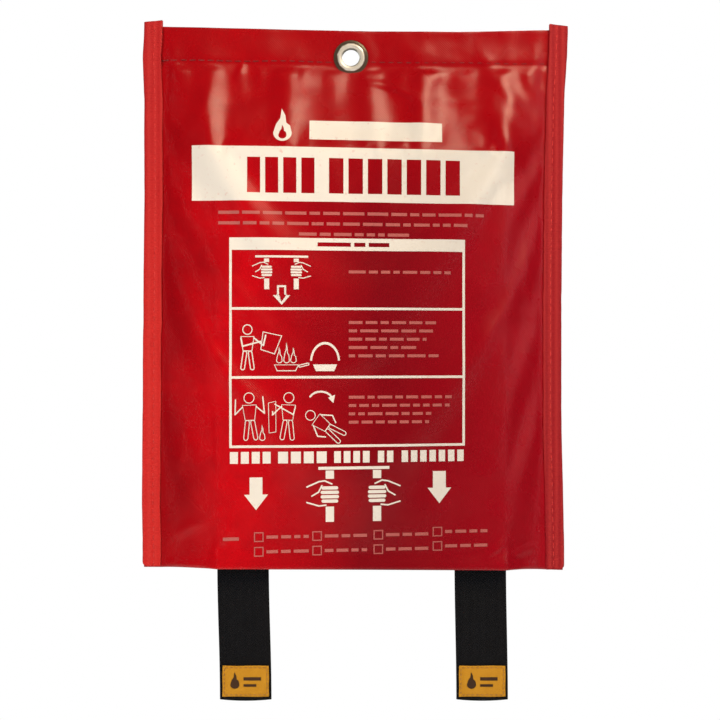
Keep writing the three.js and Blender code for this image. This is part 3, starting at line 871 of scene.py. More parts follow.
def tape_relief(across, z, width, side, stitch):
    """How far the tape's outside stands out: swollen, lipped inwards and drawn in by its stitches."""
    seam_at = width * SEAM_SHARE
    pull = SEAM_PULL * hump(across, seam_at, 1.1)
    pucker = 0.04 * stitch * hump(across, seam_at, 3.0)
    lip = 0.3 * hump(across, width * 0.93, 1.1) * (1 + wobble(z, 5, TAPE_SEEDS[side], 7))
    return tape_swell(z, side) + lip - pull - pucker


def make_binding(name, side):
    """The tape folded round one side seam, drawn in along the line of stitches."""
    low, high = binding_boxes[name]
    edge, inner = (low[0], high[0]) if side < 0 else (high[0], low[0])
    back, front = -high[1], -low[1]
    width = abs(edge - inner)
    section, outer_count = tape_section(width, back, front)
    outside = np.arange(len(section)) < outer_count
    facing = np.sign(section[:, 1] - (back + front) / 2)
    heights = stations(low[2], high[2], 0.75)
    stitched = high[2] - low[2] - 2 * SEAM_END
    pitch = stitched / int(stitched // (STITCH_LENGTH + STITCH_GAP))
    sections = np.empty((len(heights), len(section), 3))
    for i, z in enumerate(heights):
        across, depth = section.T
        stitch = 0.5 + 0.5 * math.cos(2 * math.pi * (z - low[2] - SEAM_END) / pitch)
        change = np.where(outside, tape_relief(across, z, width, side, stitch), 0)
        depth = depth + facing * np.where(facing > 0, change, np.minimum(change, 0))
        wander = 0.35 * wobble(z, 22, TAPE_SEEDS[side], 3) + 0.18 * wobble(z, 6, TAPE_SEEDS[side], 5)
        across = across + wander * np.where(across > width / 2, 1.0, 0.6)
        to_round = TAPE_CORNER - min(z - low[2], TAPE_CORNER)
        corner = TAPE_CORNER - math.sqrt(max(0.0, TAPE_CORNER**2 - to_round**2))
        across = np.maximum(across, corner + 0.08 * across)
        sections[i, :, 0] = edge - side * across + side_shift(z, side)
        sections[i, :, 1] = -depth
        sections[i, :, 2] = z
    inwards = np.abs(sections[:, :, 0] - edge - side_shift(sections[:, :, 2], side)) / width
    head = 1.1 + 0.8 * inwards if side < 0 else -1.0 + 1.1 * inwards
    foot = 1.0 if side < 0 else -0.5
    top_share = ease((sections[:, :, 2] - high[2] + 12) / 12)
    foot_share = ease((low[2] + 30 - sections[:, :, 2]) / 30)
    sections[:, :, 2] += top_share * head + foot_share * foot
    return fit(swept(f"{name}_binding_tape", sections, TAPE_RED), "pouch", f"{name}_edge_binding")


def stitch_row(starts, ends, outwards):
    """Stitches as arched lengths of thread from their starts to their ends, standing out outwards."""
    parts = []
    around, along = 7, 9
    out = np.array(outwards, float)
    for start, end in zip(starts, ends):
        start, end = np.array(start, float), np.array(end, float)
        run = end - start
        side = np.cross(run / np.linalg.norm(run), out)
        points = []
        for t in np.linspace(0, 1, along):
            arch = math.sin(math.pi * t) ** 0.5 if 0 < t < 1 else 0
            middle = start + run * t + out * (arch * 0.34 - 0.3)
            swell = THREAD_RADIUS * (0.75 + 0.25 * math.sin(math.pi * t))
            for k in range(around):
                angle = 2 * math.pi * k / around
                points.append(middle + swell * (side * math.cos(angle) + out * math.sin(angle)))
        faces = grid_faces(along, around, around=True)
        faces.append(tuple(reversed(range(around))))
        faces.append(tuple((along - 1) * around + i for i in range(around)))
        parts.append((np.array(points), faces))
    return parts


def seam(name, node, place, length, outwards, material):
    """A run of stitches along a line. place gives its points, from the distance along it."""
    count = int(length // (STITCH_LENGTH + STITCH_GAP))
    pitch = length / count
    starts = [place(i * pitch + STITCH_GAP / 2) for i in range(count)]
    ends = [place((i + 1) * pitch - STITCH_GAP / 2) for i in range(count)]
    return fit(joined(name, stitch_row(starts, ends, outwards), material), "pouch", node)


def make_binding_seams(name, side):
    """One binding's stitches, on both faces."""
    low, high = binding_boxes[name]
    edge, inner = (low[0], high[0]) if side < 0 else (high[0], low[0])
    middle = edge + (inner - edge) * SEAM_SHARE
    depths = {"front": -low[1] - SEAM_PULL, "back": -high[1] + SEAM_PULL}
    for face, outwards in FACES.items():

        def place(distance, face=face):
            z = low[2] + SEAM_END + distance
            drift = 0.25 * wobble(z, 14, side * 3.1, 2)
            proud = tape_swell(z, side) if face == "front" else 0
            return (middle + drift + float(side_shift(z, side)), -depths[face] - proud, z)

        length = high[2] - low[2] - 2 * SEAM_END
        node = f"{name}_binding_stitching_{face}"
        seam(f"{name}_binding_seam_{face}", node, place, length, outwards, THREAD_TAPE)


def make_hem_seams():
    """The hem's stitches, from each binding to the eyelet, on both faces."""
    for name in SIDES:
        for face, outwards in FACES.items():
            node = f"hem_stitching_{face}_{name}"
            low, high = box_mm(node)

            def place(distance, depth_at=front_depth if face == "front" else back_depth, low=low, high=high):
                x = np.array([low[0] + distance])
                slope = 1.6 - 1.9 * (x - SEAM_LEFT) / (SEAM_RIGHT - SEAM_LEFT)
                z = (low[2] + high[2]) / 2 + slope + 0.15 * np.sin(x / 7)
                return (x[0], -depth_at(x, z)[0], z[0])

            seam(f"hem_seam_{face}_{name}", node, place, high[0] - low[0], outwards, THREAD_RED)


# ---------------------------------------------------------------- eyelet

BORE = 4.1
TUBE = 4.7
CROWN = 5.75  # radius of the ring that the crown stands on
WASHER_BORE = 5.0


def make_eyelet():
    """The barrel with its back lip, and the front flange with its rolled crown."""
    back, front = -eyelet_high[1], -eyelet_low[1]
    flange = eyelet_high[0]
    seat = front - 2.0
    profile = [(BORE, back + 0.5), (BORE + 0.1, back + 0.15), (BORE + 0.4, back)]
    profile += [(6.0, back), (6.3, back + 0.25), (6.1, back + 0.5), (TUBE, back + 0.55), (TUBE, seat - 0.02)]
    rim = [(0.15, -0.02), (0, 0.12), (0, 0.32), (0.12, 0.5), (0.5, 0.62), (0.9, 0.66)]
    profile += [(flange - a, seat + b) for a, b in rim]
    for angle in np.linspace(0, math.pi, 15):
        profile.append((CROWN + 1.45 * math.cos(angle), seat + 0.95 + 1.05 * math.sin(angle)))
    profile.append((BORE + 0.02, seat + 0.6))
    fit(turned("eyelet", profile, NICKEL), "pouch", "eyelet_barrel")


def make_washer():
    """The flat washer behind the back panel."""
    back, front = -washer_high[1], -washer_low[1]
    outer = washer_high[0]
    ring = [(WASHER_BORE, front), (WASHER_BORE, back + 0.15), (WASHER_BORE + 0.2, back)]
    ring += [(outer - 1.2, back), (outer - 0.4, back + 0.12), (outer, front - 0.1), (outer - 0.1, front)]
    fit(turned("eyelet_back_washer", ring, NICKEL), "pouch", "eyelet_washer")


# ---------------------------------------------------------------- print

# Widths of drawn lines, and heights of the bars that stand for lines of print.
LINE, THIN_LINE = 0.5, 0.4
FRAME_LINE = 1.2
ROW_PRINT, WARNING_PRINT = 1.4, 1.5
ROW_PITCH = 4
TICK_BOX, TICK_LINE = 4.65, 0.55


class Sheet2D:
    """Flat shapes of one ink, in millimetres across and up from the eyelet."""

    def __init__(self):
        self.shapes = []

    def add(self, outline, holes=()):
        self.shapes.append((outline, list(holes)))

    def bar(self, left, right, bottom, top, holes=()):
        self.add(rectangle(left, right, bottom, top), holes)


def rectangle(left, right, bottom, top):
    return [(left, bottom), (right, bottom), (right, top), (left, top)]


def opening(left, right, bottom, top):
    """A rectangle to leave out of a shape."""
    return rectangle(left, right, bottom, top)[::-1]


def arc(x, z, across, up, angles):
    """Points of an ellipse at some angles."""
    return [(x + across * math.cos(a), z + up * math.sin(a)) for a in angles]


def capsule(start, end, width, steps=7):
    """A round-ended bar."""
    (ax, az), (bx, bz) = start, end
    heading = math.atan2(bz - az, bx - ax)
    half_turn = np.linspace(0, math.pi, steps)
    far = arc(bx, bz, width / 2, width / 2, heading - math.pi / 2 + half_turn)
    return far + arc(ax, az, width / 2, width / 2, heading + math.pi / 2 + half_turn)


def disc(x, z, radius, steps=20):
    return arc(x, z, radius, radius, np.linspace(0, 2 * math.pi, steps, endpoint=False))


def down_arrow(x, top, tip, shaft, head, head_height):
    neck = tip + head_height
    right = [(x + head / 2, neck), (x + shaft / 2, neck), (x + shaft / 2, top)]
    return [(2 * x - a, b) for a, b in reversed(right)] + [(x, tip)] + right


def flame(x, z, width, height):
    """A plain flame with one tip."""
    half = width / 2
    points = [(x - half * math.cos(a), z - half * 0.9 * math.sin(a)) for a in np.linspace(0, math.pi, 13)]
    tongue = [(0.82, 0.3), (0.4, 0.42), (0.3, 0.72), (-0.1, 1), (-0.25, 0.6), (-0.7, 0.36)]
    return points + [(x + half * a, z + height * b) for a, b in tongue]


def words(sheet, left, right, middle, height, rng, longest=11.0, shortest=3.0, gap=1.5):
    """A line of print as plain bars of the length of words."""
    x = left
    while x < right - shortest * 0.6:
        end = min(x + rng.uniform(shortest, longest), right)
        if right - end < shortest:
            end = right
        sheet.bar(x, end, middle - height / 2, middle + height / 2)
        x = end + gap


def row_words(sheet, rights, top, rng):
    """The lines of print beside a row's pictures, one for each right-hand end."""
    for i, right in enumerate(rights):
        words(sheet, -1, right, top - ROW_PITCH * i, ROW_PRINT, rng, longest=9)


def letter_blocks(left, right, count, bottom, top, gap):
    """A word as plain upright blocks, for leaving out of a band of ink."""
    width = (right - left - gap * (count - 1)) / count
    starts = [left + i * (width + gap) for i in range(count)]
    return [opening(start, start + width, bottom, top) for start in starts]


def stroke(sheet, points, width):
    """A drawn line with round joints, as short round-ended bars that meet."""
    for start, end in zip(points, points[1:]):
        sheet.add(capsule(start, end, width))


def hollow(sheet, outline, line):
    """A rounded or cornered outline, drawn as a line of one width along its inside."""
    points = np.array(outline)
    runs = [np.roll(points, -k, axis=0) - np.roll(points, 1 - k, axis=0) for k in (0, 1)]
    heading = sum(run / np.maximum(np.hypot(*run.T), 1e-6)[:, None] for run in runs)
    heading /= np.hypot(*heading.T)[:, None]
    ahead = np.roll(points, -1, axis=0)
    turn = np.sign(np.sum(points[:, 0] * ahead[:, 1] - ahead[:, 0] * points[:, 1]))
    inner = points + turn * line * np.stack([-heading[:, 1], heading[:, 0]], axis=1)
    sheet.add(outline, [[tuple(p) for p in inner[::-1]]])


def fist(sheet, x, z, size, side):
    """A hand closed round an upright strap: four fingers, with the lines of its wrist leading outwards."""
    for i in range(4):
        middle = z + size * (0.30 - 0.22 * i)
        reach = size * (0.40 - 0.04 * abs(i - 1.5))
        sheet.add(capsule((x - reach, middle), (x + reach, middle), size * 0.165))
    wrist = [(-0.1, 0.5), (0.25, 0.66), (0.55, 0.62), (1.15, 0.36)]
    thumb = [(0.4, 0.42), (0.56, 0.1), (0.9, -0.1)]
    heel = [(0.2, -0.56), (0.55, -0.6), (1.15, -0.42)]
    for run in (wrist, thumb, heel):
        stroke(sheet, [(x + side * a * size, z + b * size) for a, b in run], size * 0.075)


def strap_in_fist(sheet, x, side, strap, hand, size):
    """A pull tab with a hand on it. strap is its half width, and the ends of what shows above and below."""
    half, above, below = strap
    sheet.bar(x - half, x + half, *above)
    fist(sheet, x, hand, size, side)
    sheet.bar(x - half, x + half, *below)


def figure(sheet, x, z, size, lean, arms, line=LINE):
    """A plain standing figure in outline: round head, tapered body, two legs and two arms."""

    def at(a, b):
        across = a * math.cos(lean) - b * math.sin(lean)
        return (x + size * across, z + size * (a * math.sin(lean) + b * math.cos(lean)))

    hollow(sheet, disc(*at(0, 0.87), size * 0.12), line)
    hollow(sheet, [at(-0.16, 0.72), at(-0.11, 0.38), at(0.11, 0.38), at(0.16, 0.72)], line)
    for side, hand in zip((-1, 1), arms):
        hollow(sheet, capsule(at(side * 0.06, 0.34), at(side * 0.11, 0.0), size * 0.11), line)
        elbow = (side * 0.22 + hand[0] * 0.35, 0.42 + hand[1] * 0.12)
        stroke(sheet, [at(side * 0.15, 0.68), at(*elbow), at(*hand)], line * 1.5)


def print_head(white, pale, rng):
    """A flame and a plain bar, the title band with two words left out, and three lines of print."""
    white.add(flame(-33, -38.5, 9, 12), [flame(-33, -39.6, 4, 5)[::-1]])
    white.bar(-20, 44, -41.4, -32)
    words_left_out = ((-50, -17.5, 4), (-10.5, 52.5, 7))
    title = [block for word in words_left_out for block in letter_blocks(*word, -67.4, -50.4, 2.4)]
    white.bar(-77, 78.8, -71.4, -45.2, title)
    for left, right, z in ((-64, 64, -77), (-64, 56, -82), (-25, 28, -87)):
        words(pale, left, right, z, WARNING_PRINT, rng)


def print_frame(white):
    """The frame of the instructions: a filled head with a line of print left out, and three open rows."""
    left, right = -58.6, 54.9
    holes = [opening(*ends, -92.9, -90.9) for ends in ((-16, 0), (1.6, 7), (8.6, 18.5))]
    for top, bottom in ((-94.8, -122.1), (-123.3, -154.9), (-156.1, -187.9)):
        holes.append(opening(left + FRAME_LINE, right - FRAME_LINE, bottom, top))
    white.bar(left, right, -189.1, -88.9, holes)


def pull_row(white, pale, rng):
    """Pull the tabs: two hands on the tabs, and an arrow down."""
    white.bar(-46, -20.5, -98.4, -97.4)
    for x, side in ((-40.5, -1), (-26.2, 1)):
        strap_in_fist(white, x, side, (1.2, (-100.6, -98.9), (-113.5, -108.4)), -104.6, 6.0)
    inner = down_arrow(-33.3, -112.5, -119.4, 2.6, 5.4, 3.4)
    white.add(down_arrow(-33.3, -111.6, -120.9, 4.4, 8.4, 4.6), [inner[::-1]])
    row_words(pale, [48], -105, rng)


def pan(sheet, x, z):
    """A frying pan seen from its side."""
    hollow(sheet, [(x - 6, z), (x - 4.6, z - 3.2), (x + 4.6, z - 3.2), (x + 6, z)], 0.55)
    hollow(sheet, capsule((x + 6.4, z - 0.8), (x + 10.4, z + 0.2), 1.4), 0.45)


def cover_row(white, pale, rng):
    """Cover the fire: a figure lowering the blanket on a flaming pan, and the covered pan."""
    figure(white, -49.8, -151, 21, 0.0, [(0.30, 0.60), (0.42, 0.74)])
    hollow(white, [(-42.4, -133.6), (-43.6, -142.4), (-36.6, -144.6), (-33.0, -135.6)], 0.6)
    for x, height in ((-34.4, 6.6), (-30.9, 8.6), (-27.6, 6.2)):
        hollow(white, flame(x, -147.4, 3.1, height), THIN_LINE)
    pan(white, -31, -149.4)
    angles = np.linspace(0.05, math.pi - 0.05, 17)
    white.add(arc(-12.4, -148, 7.2, 9.4, angles) + arc(-12.4, -148, 6.2, 8.2, angles[::-1]))
    white.add([(-18.2, -149.4), (-6.6, -149.4), (-8.0, -152.6), (-16.8, -152.6)])
    row_words(pale, (41, 39.5, 36.4, 31.4, 42.2), -129.3, rng)


def wrap_row(white, pale, rng):
    """Burning clothes: wrap the figure, lay it down and roll it."""
    figure(white, -48.2, -184.4, 22, 0.04, [(-0.3, 0.84), (0.3, 0.88)], THIN_LINE)
    hollow(white, flame(-42.6, -184.4, 3.0, 6.4), THIN_LINE)
    figure(white, -30.6, -184.4, 22, -0.04, [(-0.34, 0.56), (-0.3, 0.72)], THIN_LINE)
    hollow(white, [(-39.8, -167.6), (-39.4, -182.2), (-35.8, -181.6), (-36.0, -166.8)], THIN_LINE)
    figure(white, -4.6, -184.4, 21, 0.95, [(-0.2, 0.3), (0.2, 0.3)], THIN_LINE)
    stroke(white, arc(-14.5, -166.6, 5.6, 4.2, np.linspace(2.7, 0.4, 9)), 0.9)
    white.add([(-11.0, -165.4), (-7.6, -164.0), (-8.4, -168.0)])
    row_words(pale, (48.5, 47.5, 38.6, 37.6), -165.2, rng)


def print_foot(white):
    """A bold line of print, two arrows, and two hands on the tabs."""
    for word in ((-58.3, -38.6, 4), (-35, -11.6, 4), (-8, 9, 4), (13, 20.4, 2), (24.4, 54.3, 7)):
        for block in letter_blocks(*word, -196.6, -191.0, 1.4):
            white.add(block)
    white.add(down_arrow(-45.7, -203.2, -218.8, 6.2, 11.6, 7.4))
    white.add(down_arrow(42.6, -201.3, -217, 6.2, 11.4, 7.6))
    white.bar(-15.6, 18.5, -199.8, -198.4)
    for x, side in ((-10.1, -1), (12.6, 1)):
        strap_in_fist(white, x, side, (2, (-204.2, -200.2), (-225, -217.6)), -211.5, 9.6)


def size_boxes(pale, rng):
    """Two rows of tick boxes for the sizes the blanket comes in."""
    words(pale, -61.7, -54, -232.4, 1.6, rng)
    for x, up in ((-46.7, 0.0), (-18.6, 0.0), (10.9, 0.0), (39.4, 0.9)):
        for row in range(2):
            top = -229.4 - 7.0 * row + up
            right, bottom = x + TICK_BOX, top - TICK_BOX
            hole = opening(x + TICK_LINE, right - TICK_LINE, bottom + TICK_LINE, top - TICK_LINE)
            pale.bar(x, right, bottom, top, [hole])
            words(pale, x + 6, x + 26.4, top - 2.4, 1.5, rng, longest=7)


def make_print(cloth):
    """Everything printed on the front: plain bars for all the words, and plain pictograms."""
    rng = random.Random(20)
    white, pale = Sheet2D(), Sheet2D()
    print_head(white, pale, rng)
    print_frame(white)
    for row in (pull_row, cover_row, wrap_row):
        row(white, pale, rng)
    print_foot(white)
    size_boxes(pale, rng)
    surface = cloth.data
    tree = BVHTree.FromPolygons([v.co for v in surface.vertices], [p.vertices for p in surface.polygons])
    surface_ink("print_white", white, INK_WHITE, tree)
    surface_ink("print_fine", pale, INK_PALE, tree)


def print_slope(z):
    """The cloth lies a little askew, so the print tilts down to the right at its head and up at its foot."""
    return -0.019 + 0.030 * (-58 - z) / 130


def surface_ink(name, sheet, material, cloth):
    """Lays flat shapes of ink on the front panel as a thin film, cut finely enough to follow its folds."""
    parts = []
    for number, (outline, holes) in enumerate(sheet.shapes):
        lift = INK_LIFT + INK_STAGGER * (number % 4)
        flat, triangles, rim = cut_shape([outline, *holes])
        near = np.empty((len(flat), 3))
        for i, (x, z) in enumerate(flat):
            hit = cloth.ray_cast(Vector((x * MM, -0.1, z * MM)), Vector(FACES["back"]))[0]
            near[i] = (x, hit.y / MM - lift, z)
        count = len(flat)
        faces = list(triangles)
        faces += [tuple(count + i for i in reversed(t)) for t in triangles]
        faces += [(b, a, count + a, count + b) for a, b in rim]
        parts.append((np.vstack([near, near + (0, INK_THICKNESS, 0)]), faces))
    obj = joined(name, parts, material)
    obj.data.set_sharp_from_angle(angle=math.radians(50))
    return fit(obj, "pouch")


def cut_shape(loops):
    """A flat shape with holes cut along a fine grid: its points, its triangles and the edges of its rim."""
    nested = [[Vector((x, z + print_slope(z) * (x - PRINT_MIDDLE), 0)) for x, z in loop] for loop in loops]
    flat = [point for loop in nested for point in loop]
    bm = bmesh.new()
    made = [bm.verts.new(p) for p in flat]
    for triangle in tessellate_polygon(nested):
        if len(set(triangle)) == 3:
            bm.faces.new([made[i] for i in triangle])
    for axis, normal in ((0, (1, 0, 0)), (1, (0, 1, 0))):
        low = min(p[axis] for p in flat)
        high = max(p[axis] for p in flat)
        for line in np.arange(math.ceil(low / INK_GRID), math.floor(high / INK_GRID) + 1) * INK_GRID:
            geometry = bm.verts[:] + bm.edges[:] + bm.faces[:]
            place = [line * n for n in normal]
            bmesh.ops.bisect_plane(bm, geom=geometry, plane_co=place, plane_no=normal, dist=1e-4)
    bmesh.ops.remove_doubles(bm, verts=bm.verts[:], dist=0.02)
    bmesh.ops.triangulate(bm, faces=bm.faces[:])
    for face in bm.faces:
        face.normal_update()
        if face.normal.z > 0:
            face.normal_flip()
    bm.verts.index_update()
    places = [(v.co.x, v.co.y) for v in bm.verts]
    triangles = [tuple(v.index for v in face.verts) for face in bm.faces]
    rim = [(e.verts[0].index, e.verts[1].index) for e in bm.edges if len(e.link_faces) == 1]
    bm.free()
    return places, triangles, rim


# ---------------------------------------------------------------- blanket

LEAVES_ACROSS = 7
LEAVES_UP = 5
LEAF_STATIONS = 15
LEAF_PRESS = 0.3  # the leaves give this share of their thickness where they are pressed
LEAF_SHARE = 0.62  # the cloth's share of a leaf's thickness
LEAF_WANDER = 0.35  # the leaves' folds lie this much out of line
SIDE_MARGIN = 1.2  # between the packet's space and its folds
END_MARGIN = 2.5
TAB_SLOT = 1.95
TAB_SLOT_AT = 2  # the leaf that the tabs lie on


def folded_line(count, length, pitches, steps):
    """A strip in equal leaves with round folds between: place along the leaf, layer height, leaf number."""
    points = []
    height = 0.0
    for leaf in range(count):
        ends = (0.0, length) if leaf % 2 == 0 else (length, 0.0)
        points += [(place, height, leaf) for place in np.linspace(*ends, LEAF_STATIONS)]
        if leaf < count - 1:
            radius = pitches[leaf] / 2
            reach = radius if leaf % 2 == 0 else -radius
            for step in range(1, steps):
                angle = math.pi * step / steps
                place = ends[1] + reach * math.sin(angle)
                points.append((place, height + radius * (1 - math.cos(angle)), leaf + step / steps))
            height += pitches[leaf]
    return np.array(points)


def packed_down(x, depth, z, slot_depth):
    """Presses the packet's leaves together towards the tabs' slot: in soft dents, and all round its edges."""
    dents = 0.4 + 0.6 * bumpy(x, z, 30, 12.7) + 0.4 * bumpy(x, z, 11, 15.1)
    to_side = np.minimum(x - packet_low[0], packet_high[0] - x)
    to_end = np.minimum(z - packet_low[2], packet_high[2] - z)
    edges = np.exp(-np.maximum(to_side, 0) / 5) + np.exp(-np.maximum(to_end, 0) / 5)
    pressed = LEAF_PRESS * np.clip(0.8 * np.clip(dents, 0, 1) + edges, 0, 1)
    return slot_depth + (depth - slot_depth) * (1 - pressed)


def make_blanket():
    """One square of cloth folded in leaves across and then up, with the tabs' slot."""
    rng = random.Random(4)
    width, thick, height = packet_high - packet_low
    layer = (thick - TAB_SLOT - 0.5) / (LEAVES_ACROSS * LEAVES_UP)
    across = folded_line(LEAVES_ACROSS, width - 2 * SIDE_MARGIN, [layer] * (LEAVES_ACROSS - 1), 4)
    strip = layer * LEAVES_ACROSS
    pitches = [strip + 0.1] * (LEAVES_UP - 1)
    pitches[TAB_SLOT_AT] = strip + TAB_SLOT
    up = folded_line(LEAVES_UP, height - 2 * END_MARGIN, pitches, 8)
    headings = np.gradient(up[:, :2], axis=0)
    headings /= np.linalg.norm(headings, axis=1, keepdims=True)
    normals = np.stack([headings[:, 1], -headings[:, 0]], axis=1)
    offset = strip / 2 - across[:, 1] - layer / 2
    drawn = [rng.uniform(-LEAF_WANDER, LEAF_WANDER) for _ in range(LEAVES_ACROSS)]
    wander = np.interp(across[:, 2], range(LEAVES_ACROSS), drawn)
    x = packet_low[0] + SIDE_MARGIN + across[:, 0] + wander + 0.3 * np.sin(up[:, 2:] * 2.7)
    depth = up[:, 1:2] + normals[:, 1:] * offset
    depth += -packet_high[1] + layer / 2 + 0.1 - depth.min()
    z = packet_low[2] + END_MARGIN + up[:, :1] + normals[:, :1] * offset
    root_low, root_high = box_mm("left_tab_root")
    depth = packed_down(x, depth, z, -(root_low[1] + root_high[1]) / 2)
    obj = shell("blanket_cloth", np.stack([x, -depth, z], axis=2), layer * LEAF_SHARE, GLASS_CLOTH)
    fit(obj, "blanket", "folded_blanket")


# ---------------------------------------------------------------- tabs

TAB_LEAN = {"left": 1.3, "right": 0.9}  # how far each tab's end hangs to the right
TAB_SEEDS = {"left": 2.2, "right": 6.1}
TAB_COLUMNS = 33
LABEL_GRID = (27, 41)
LABEL_THICKNESS = 0.32
LABEL_INSET = 0.95  # of its stitches, from its edge
STITCH_ENDS = (0.12, 0.88)  # where the thread comes up and goes down, as shares of a stitch's pitch


def tab_section(half, thick):
    """The webbing's section, round from its front to its back."""
    across = np.linspace(-1, 1, TAB_COLUMNS)
    shape = [(t * half, thick / 2 * selvedge(t)) for t in across]
    return np.array(shape + [(a, -b) for a, b in reversed(shape)])


def selvedge(t):
    """The webbing's relative thickness across its width: a groove inside each selvedge, and thin edges."""
    edge = 1 - max(0.0, (abs(t) - 0.94) / 0.06) ** 2 * 0.75
    return edge - 0.5 * hump(abs(t), 0.86, 0.03)


def make_tab(name):
    """One length of webbing, from between the leaves to its cut end. Returns the middle of its end."""
    root_low, root_high = box_mm(f"{name}_tab_root")
    tab_low, tab_high = box_mm(f"{name}_tab_webbing")
    middle = (root_low[0] + root_high[0]) / 2
    half = (root_high[0] - root_low[0]) / 2
    depth = -(root_low[1] + root_high[1]) / 2
    ring = tab_section(half, root_high[1] - root_low[1])
    from_middle = (ring[:, 0] / half) ** 2
    heights = stations(tab_low[2], root_high[2], 1.0)
    sections = np.empty((len(heights), len(ring), 3))
    for i, z in enumerate(heights):
        below = ease((tab_high[2] - z) / (tab_high[2] - tab_low[2]))
        sway = below * (0.7 * wobble(z, 24, TAB_SEEDS[name]) + 0.25)
        sections[i, :, 0] = middle + ring[:, 0] + TAB_LEAN[name] * below
        sections[i, :, 1] = -(depth + ring[:, 1] + sway - 0.5 * below * from_middle)
        sections[i, :, 2] = z
    sections[0, :, 2] -= 0.6 * (1 - from_middle)
    obj = swept(f"{name}_tab", sections, WEBBING)
    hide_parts(f"{name}_tab_root", f"{name}_tab_webbing")
    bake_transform(obj)
    return middle + TAB_LEAN[name]


def make_label(name, middle):
    """A ribbon label sewn near the tab's end, with a plain printed device."""
    low, high = box_mm(f"{name}_tab_label")
    width, height = high[0] - low[0], high[2] - low[2]
    centre_z = (low[2] + high[2]) / 2
    seat = -high[1] + 0.35
    rows, columns = LABEL_GRID
    v, u = np.meshgrid(np.linspace(1, -1, rows), np.linspace(-1, 1, columns), indexing="ij")
    dent = 0.16 * hump(np.maximum(np.abs(u), np.abs(v)), 0.88, 0.06)
    puff = 0.22 * (1 - u * u) * (1 - v * v)
    x = middle + u * width / 2 * (1 + 0.006 * np.sin(5 * v))
    z = centre_z + v * height / 2 * (1 + 0.01 * np.sin(4 * u))
    centre = np.stack([x, -(seat + puff - dent), z], axis=2)
    fit(shell(f"{name}_label", centre, LABEL_THICKNESS, LABEL), f"{name}_tab", f"{name}_tab_label")
    label_print(name, middle, seat + 0.2, centre_z)
    half_x, half_z = width / 2 - LABEL_INSET, height / 2 - LABEL_INSET
    corners = rectangle(middle - half_x, middle + half_x, centre_z - half_z, centre_z + half_z)
    runs = list(zip(corners, corners[1:] + corners[:1]))
    obj = sewn_runs(f"{name}_label_seam", runs, 2.3, seat + 0.16, THREAD_MUSTARD)
    fit(obj, f"{name}_tab", f"{name}_label_stitching")


def label_print(name, x, depth, z):
    """A plain flame and two bars in dark ink."""
    shapes = [flame(x - 5.2, z - 1.6, 4.4, 6)]
    shapes += [rectangle(x - 1, x + 7.4, z + 0.4, z + 2.0), rectangle(x - 1, x + 5.2, z - 2.6, z - 1.4)]
    parts = []
    for outline in shapes:
        count = len(outline)
        points = [(a, -(depth + lift), b) for lift in (0.31, 0.04) for a, b in outline]
        triangles = tessellate_polygon([[Vector((a, b, 0)) for a, b in outline]])
        faces = [tuple(t) for t in triangles]
        faces += [tuple(count + i for i in reversed(t)) for t in triangles]
        faces += [(i, (i + 1) % count, count + (i + 1) % count, count + i) for i in range(count)]
        parts.append((np.array(points), faces))
    obj = joined(f"{name}_label_print", parts, INK_BROWN)
    obj.data.polygons.foreach_set("use_smooth", [False] * len(obj.data.polygons))
    fit(obj, f"{name}_tab")


def sewn_runs(name, runs, spacing, depth, material):
    """Stitches along straight runs between points (across, up)."""
    ends = ([], [])
    for (ax, az), (bx, bz) in runs:
        count = round(math.hypot(bx - ax, bz - az) / spacing)
        for i in range(count):
            for places, share in zip(ends, STITCH_ENDS):
                t = (i + share) / count
                places.append((ax + (bx - ax) * t, -depth, az + (bz - az) * t))
    return joined(name, stitch_row(*ends, FACES["front"]), material)


def make_box_stitch(name):
    """The square and cross of stitches that sews the webbing to the blanket."""
    low, high = box_mm(f"{name}_tab_box_stitching")
    corners = rectangle(low[0], high[0], low[2], high[2])
    runs = list(zip(corners, corners[1:] + corners[:1])) + [corners[::2], corners[1::2]]
    obj = sewn_runs(f"{name}_box_stitch", runs, 2.6, -high[1] + 0.1, THREAD_BLACK)
    fit(obj, "blanket", f"{name}_tab_box_stitching")


# ---------------------------------------------------------------- studio

WARM = (1, 0.78, 0.54)
STUDIO_MIDDLE = (0, 0, -0.12)
CAMERA_DISTANCE = 1.2
VIEW_WIDTH = 0.350
CAMERA_AIM = Vector((0.0044, -0.006, -0.1473))
FLOOR_DROP = 0.25  # below the object
FLOOR_RADIUS = 0.85


def area_light(name, place, target, size, power, colour=(1, 1, 1), mirrored=True):
    """A soft light. One that isn't mirrored gives no highlights."""
    data = bpy.data.lights.new(name, "AREA")
    data.shape = "RECTANGLE"
    data.size, data.size_y = size
    data.energy = power
    data.color = colour
    obj = put(name, data)
    obj.location = place
    obj.visible_glossy = mirrored
    obj.rotation_euler = (Vector(target) - Vector(place)).to_track_quat("-Z", "Y").to_euler()


def make_world():
    """A white background for the camera, and a faint warm fill for everything else."""
    world = bpy.data.worlds.new("studio")
    bpy.context.scene.world = world
    world.use_nodes = True
    tree = world.node_tree
    tree.nodes.clear()
    mix = tree.nodes.new("ShaderNodeMixShader")
    path = tree.nodes.new("ShaderNodeLightPath")
    tree.links.new(path.outputs["Is Camera Ray"], mix.inputs[0])
    for slot, colour, strength in ((1, (1, 0.98, 0.96, 1), 0.035), (2, (1, 1, 1, 1), 1.0)):
        node = tree.nodes.new("ShaderNodeBackground")
        node.inputs["Color"].default_value = colour
        node.inputs["Strength"].default_value = strength
        tree.links.new(node.outputs[0], mix.inputs[slot])
    tree.links.new(mix.outputs[0], tree.nodes.new("ShaderNodeOutputWorld").inputs[0])


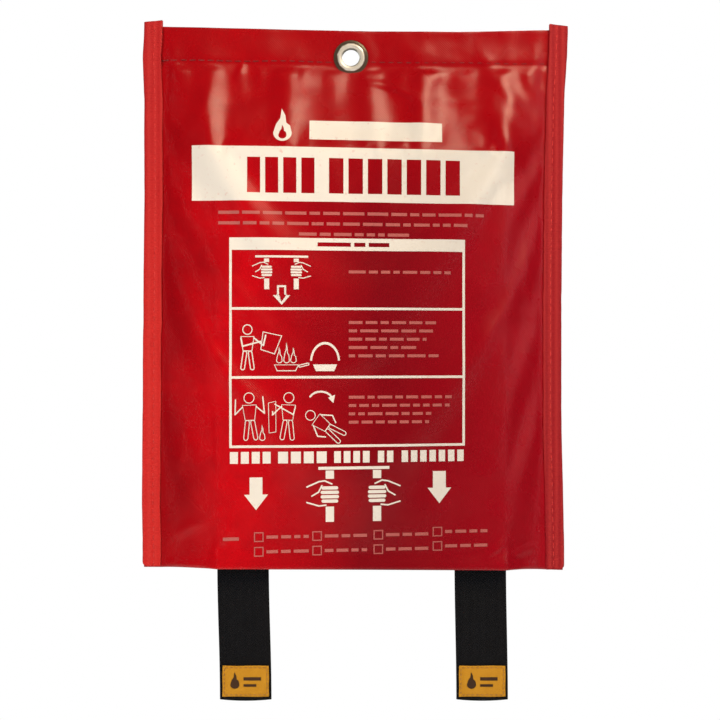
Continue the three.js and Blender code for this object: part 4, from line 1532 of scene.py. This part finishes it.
def make_lights():
    """Two big soft lights at the sides, three that the glossy cloth mirrors, and two behind."""
    middle = STUDIO_MIDDLE
    area_light("left", (-0.62, -0.62, -0.05), middle, (0.3, 0.6), 5.3, (1, 0.93, 0.85), mirrored=False)
    area_light("right", (0.70, -0.50, 0.0), middle, (0.3, 0.6), 2.3, (0.97, 0.97, 1), mirrored=False)
    area_light("above", (0.34, -0.42, 0.42), (0.04, 0, -0.05), (0.32, 0.13), 2.2, WARM)
    area_light("front_high", (0.62, -1.05, 0.78), (0, 0, 0), (0.34, 0.24), 6.0, (1, 0.77, 0.52))
    area_light("glint_right", (0.85, -0.50, 0.05), middle, (0.2, 0.5), 0.15, (0.95, 0.95, 1))
    area_light("behind", (0.35, 0.85, 0.30), middle, (0.8, 0.6), 9)
    area_light("behind_low", (-0.6, 0.6, -0.1), middle, (0.4, 0.5), 2.4)


def make_floor():
    """A pale disc well below the object."""
    place = (0, 0, cad_bounds[0][2] - FLOOR_DROP)
    bpy.ops.mesh.primitive_circle_add(vertices=128, radius=FLOOR_RADIUS, fill_type="NGON", location=place)
    floor = bpy.context.object
    floor.name = "floor"
    floor.data.materials.append(Finish("pale_floor", (0.86, 0.86, 0.85), 0.7).material)


def make_camera():
    """A straight view of the front, a little off the eyelet's line, as wide as the object and its margins."""
    data = bpy.data.cameras.new("camera")
    data.lens = data.sensor_width * CAMERA_DISTANCE / VIEW_WIDTH
    obj = put("camera", data)
    obj.location = CAMERA_AIM + Vector((0, -CAMERA_DISTANCE, 0))
    obj.rotation_euler = (math.pi / 2, 0, 0)
    bpy.context.scene.camera = obj


SETTLED = settle_front()
make_camera()
bpy.context.scene.view_settings.view_transform = "Standard"
make_world()
make_lights()
make_floor()
front_cloth = make_panels()
for side_name, side_sign in SIDES.items():
    make_binding(side_name, side_sign)
    make_binding_seams(side_name, side_sign)
make_hem_seams()
make_eyelet()
make_washer()
make_print(front_cloth)
make_blanket()
for side_name in SIDES:
    label_middle = make_tab(side_name)
    make_label(side_name, label_middle)
    make_box_stitch(side_name)
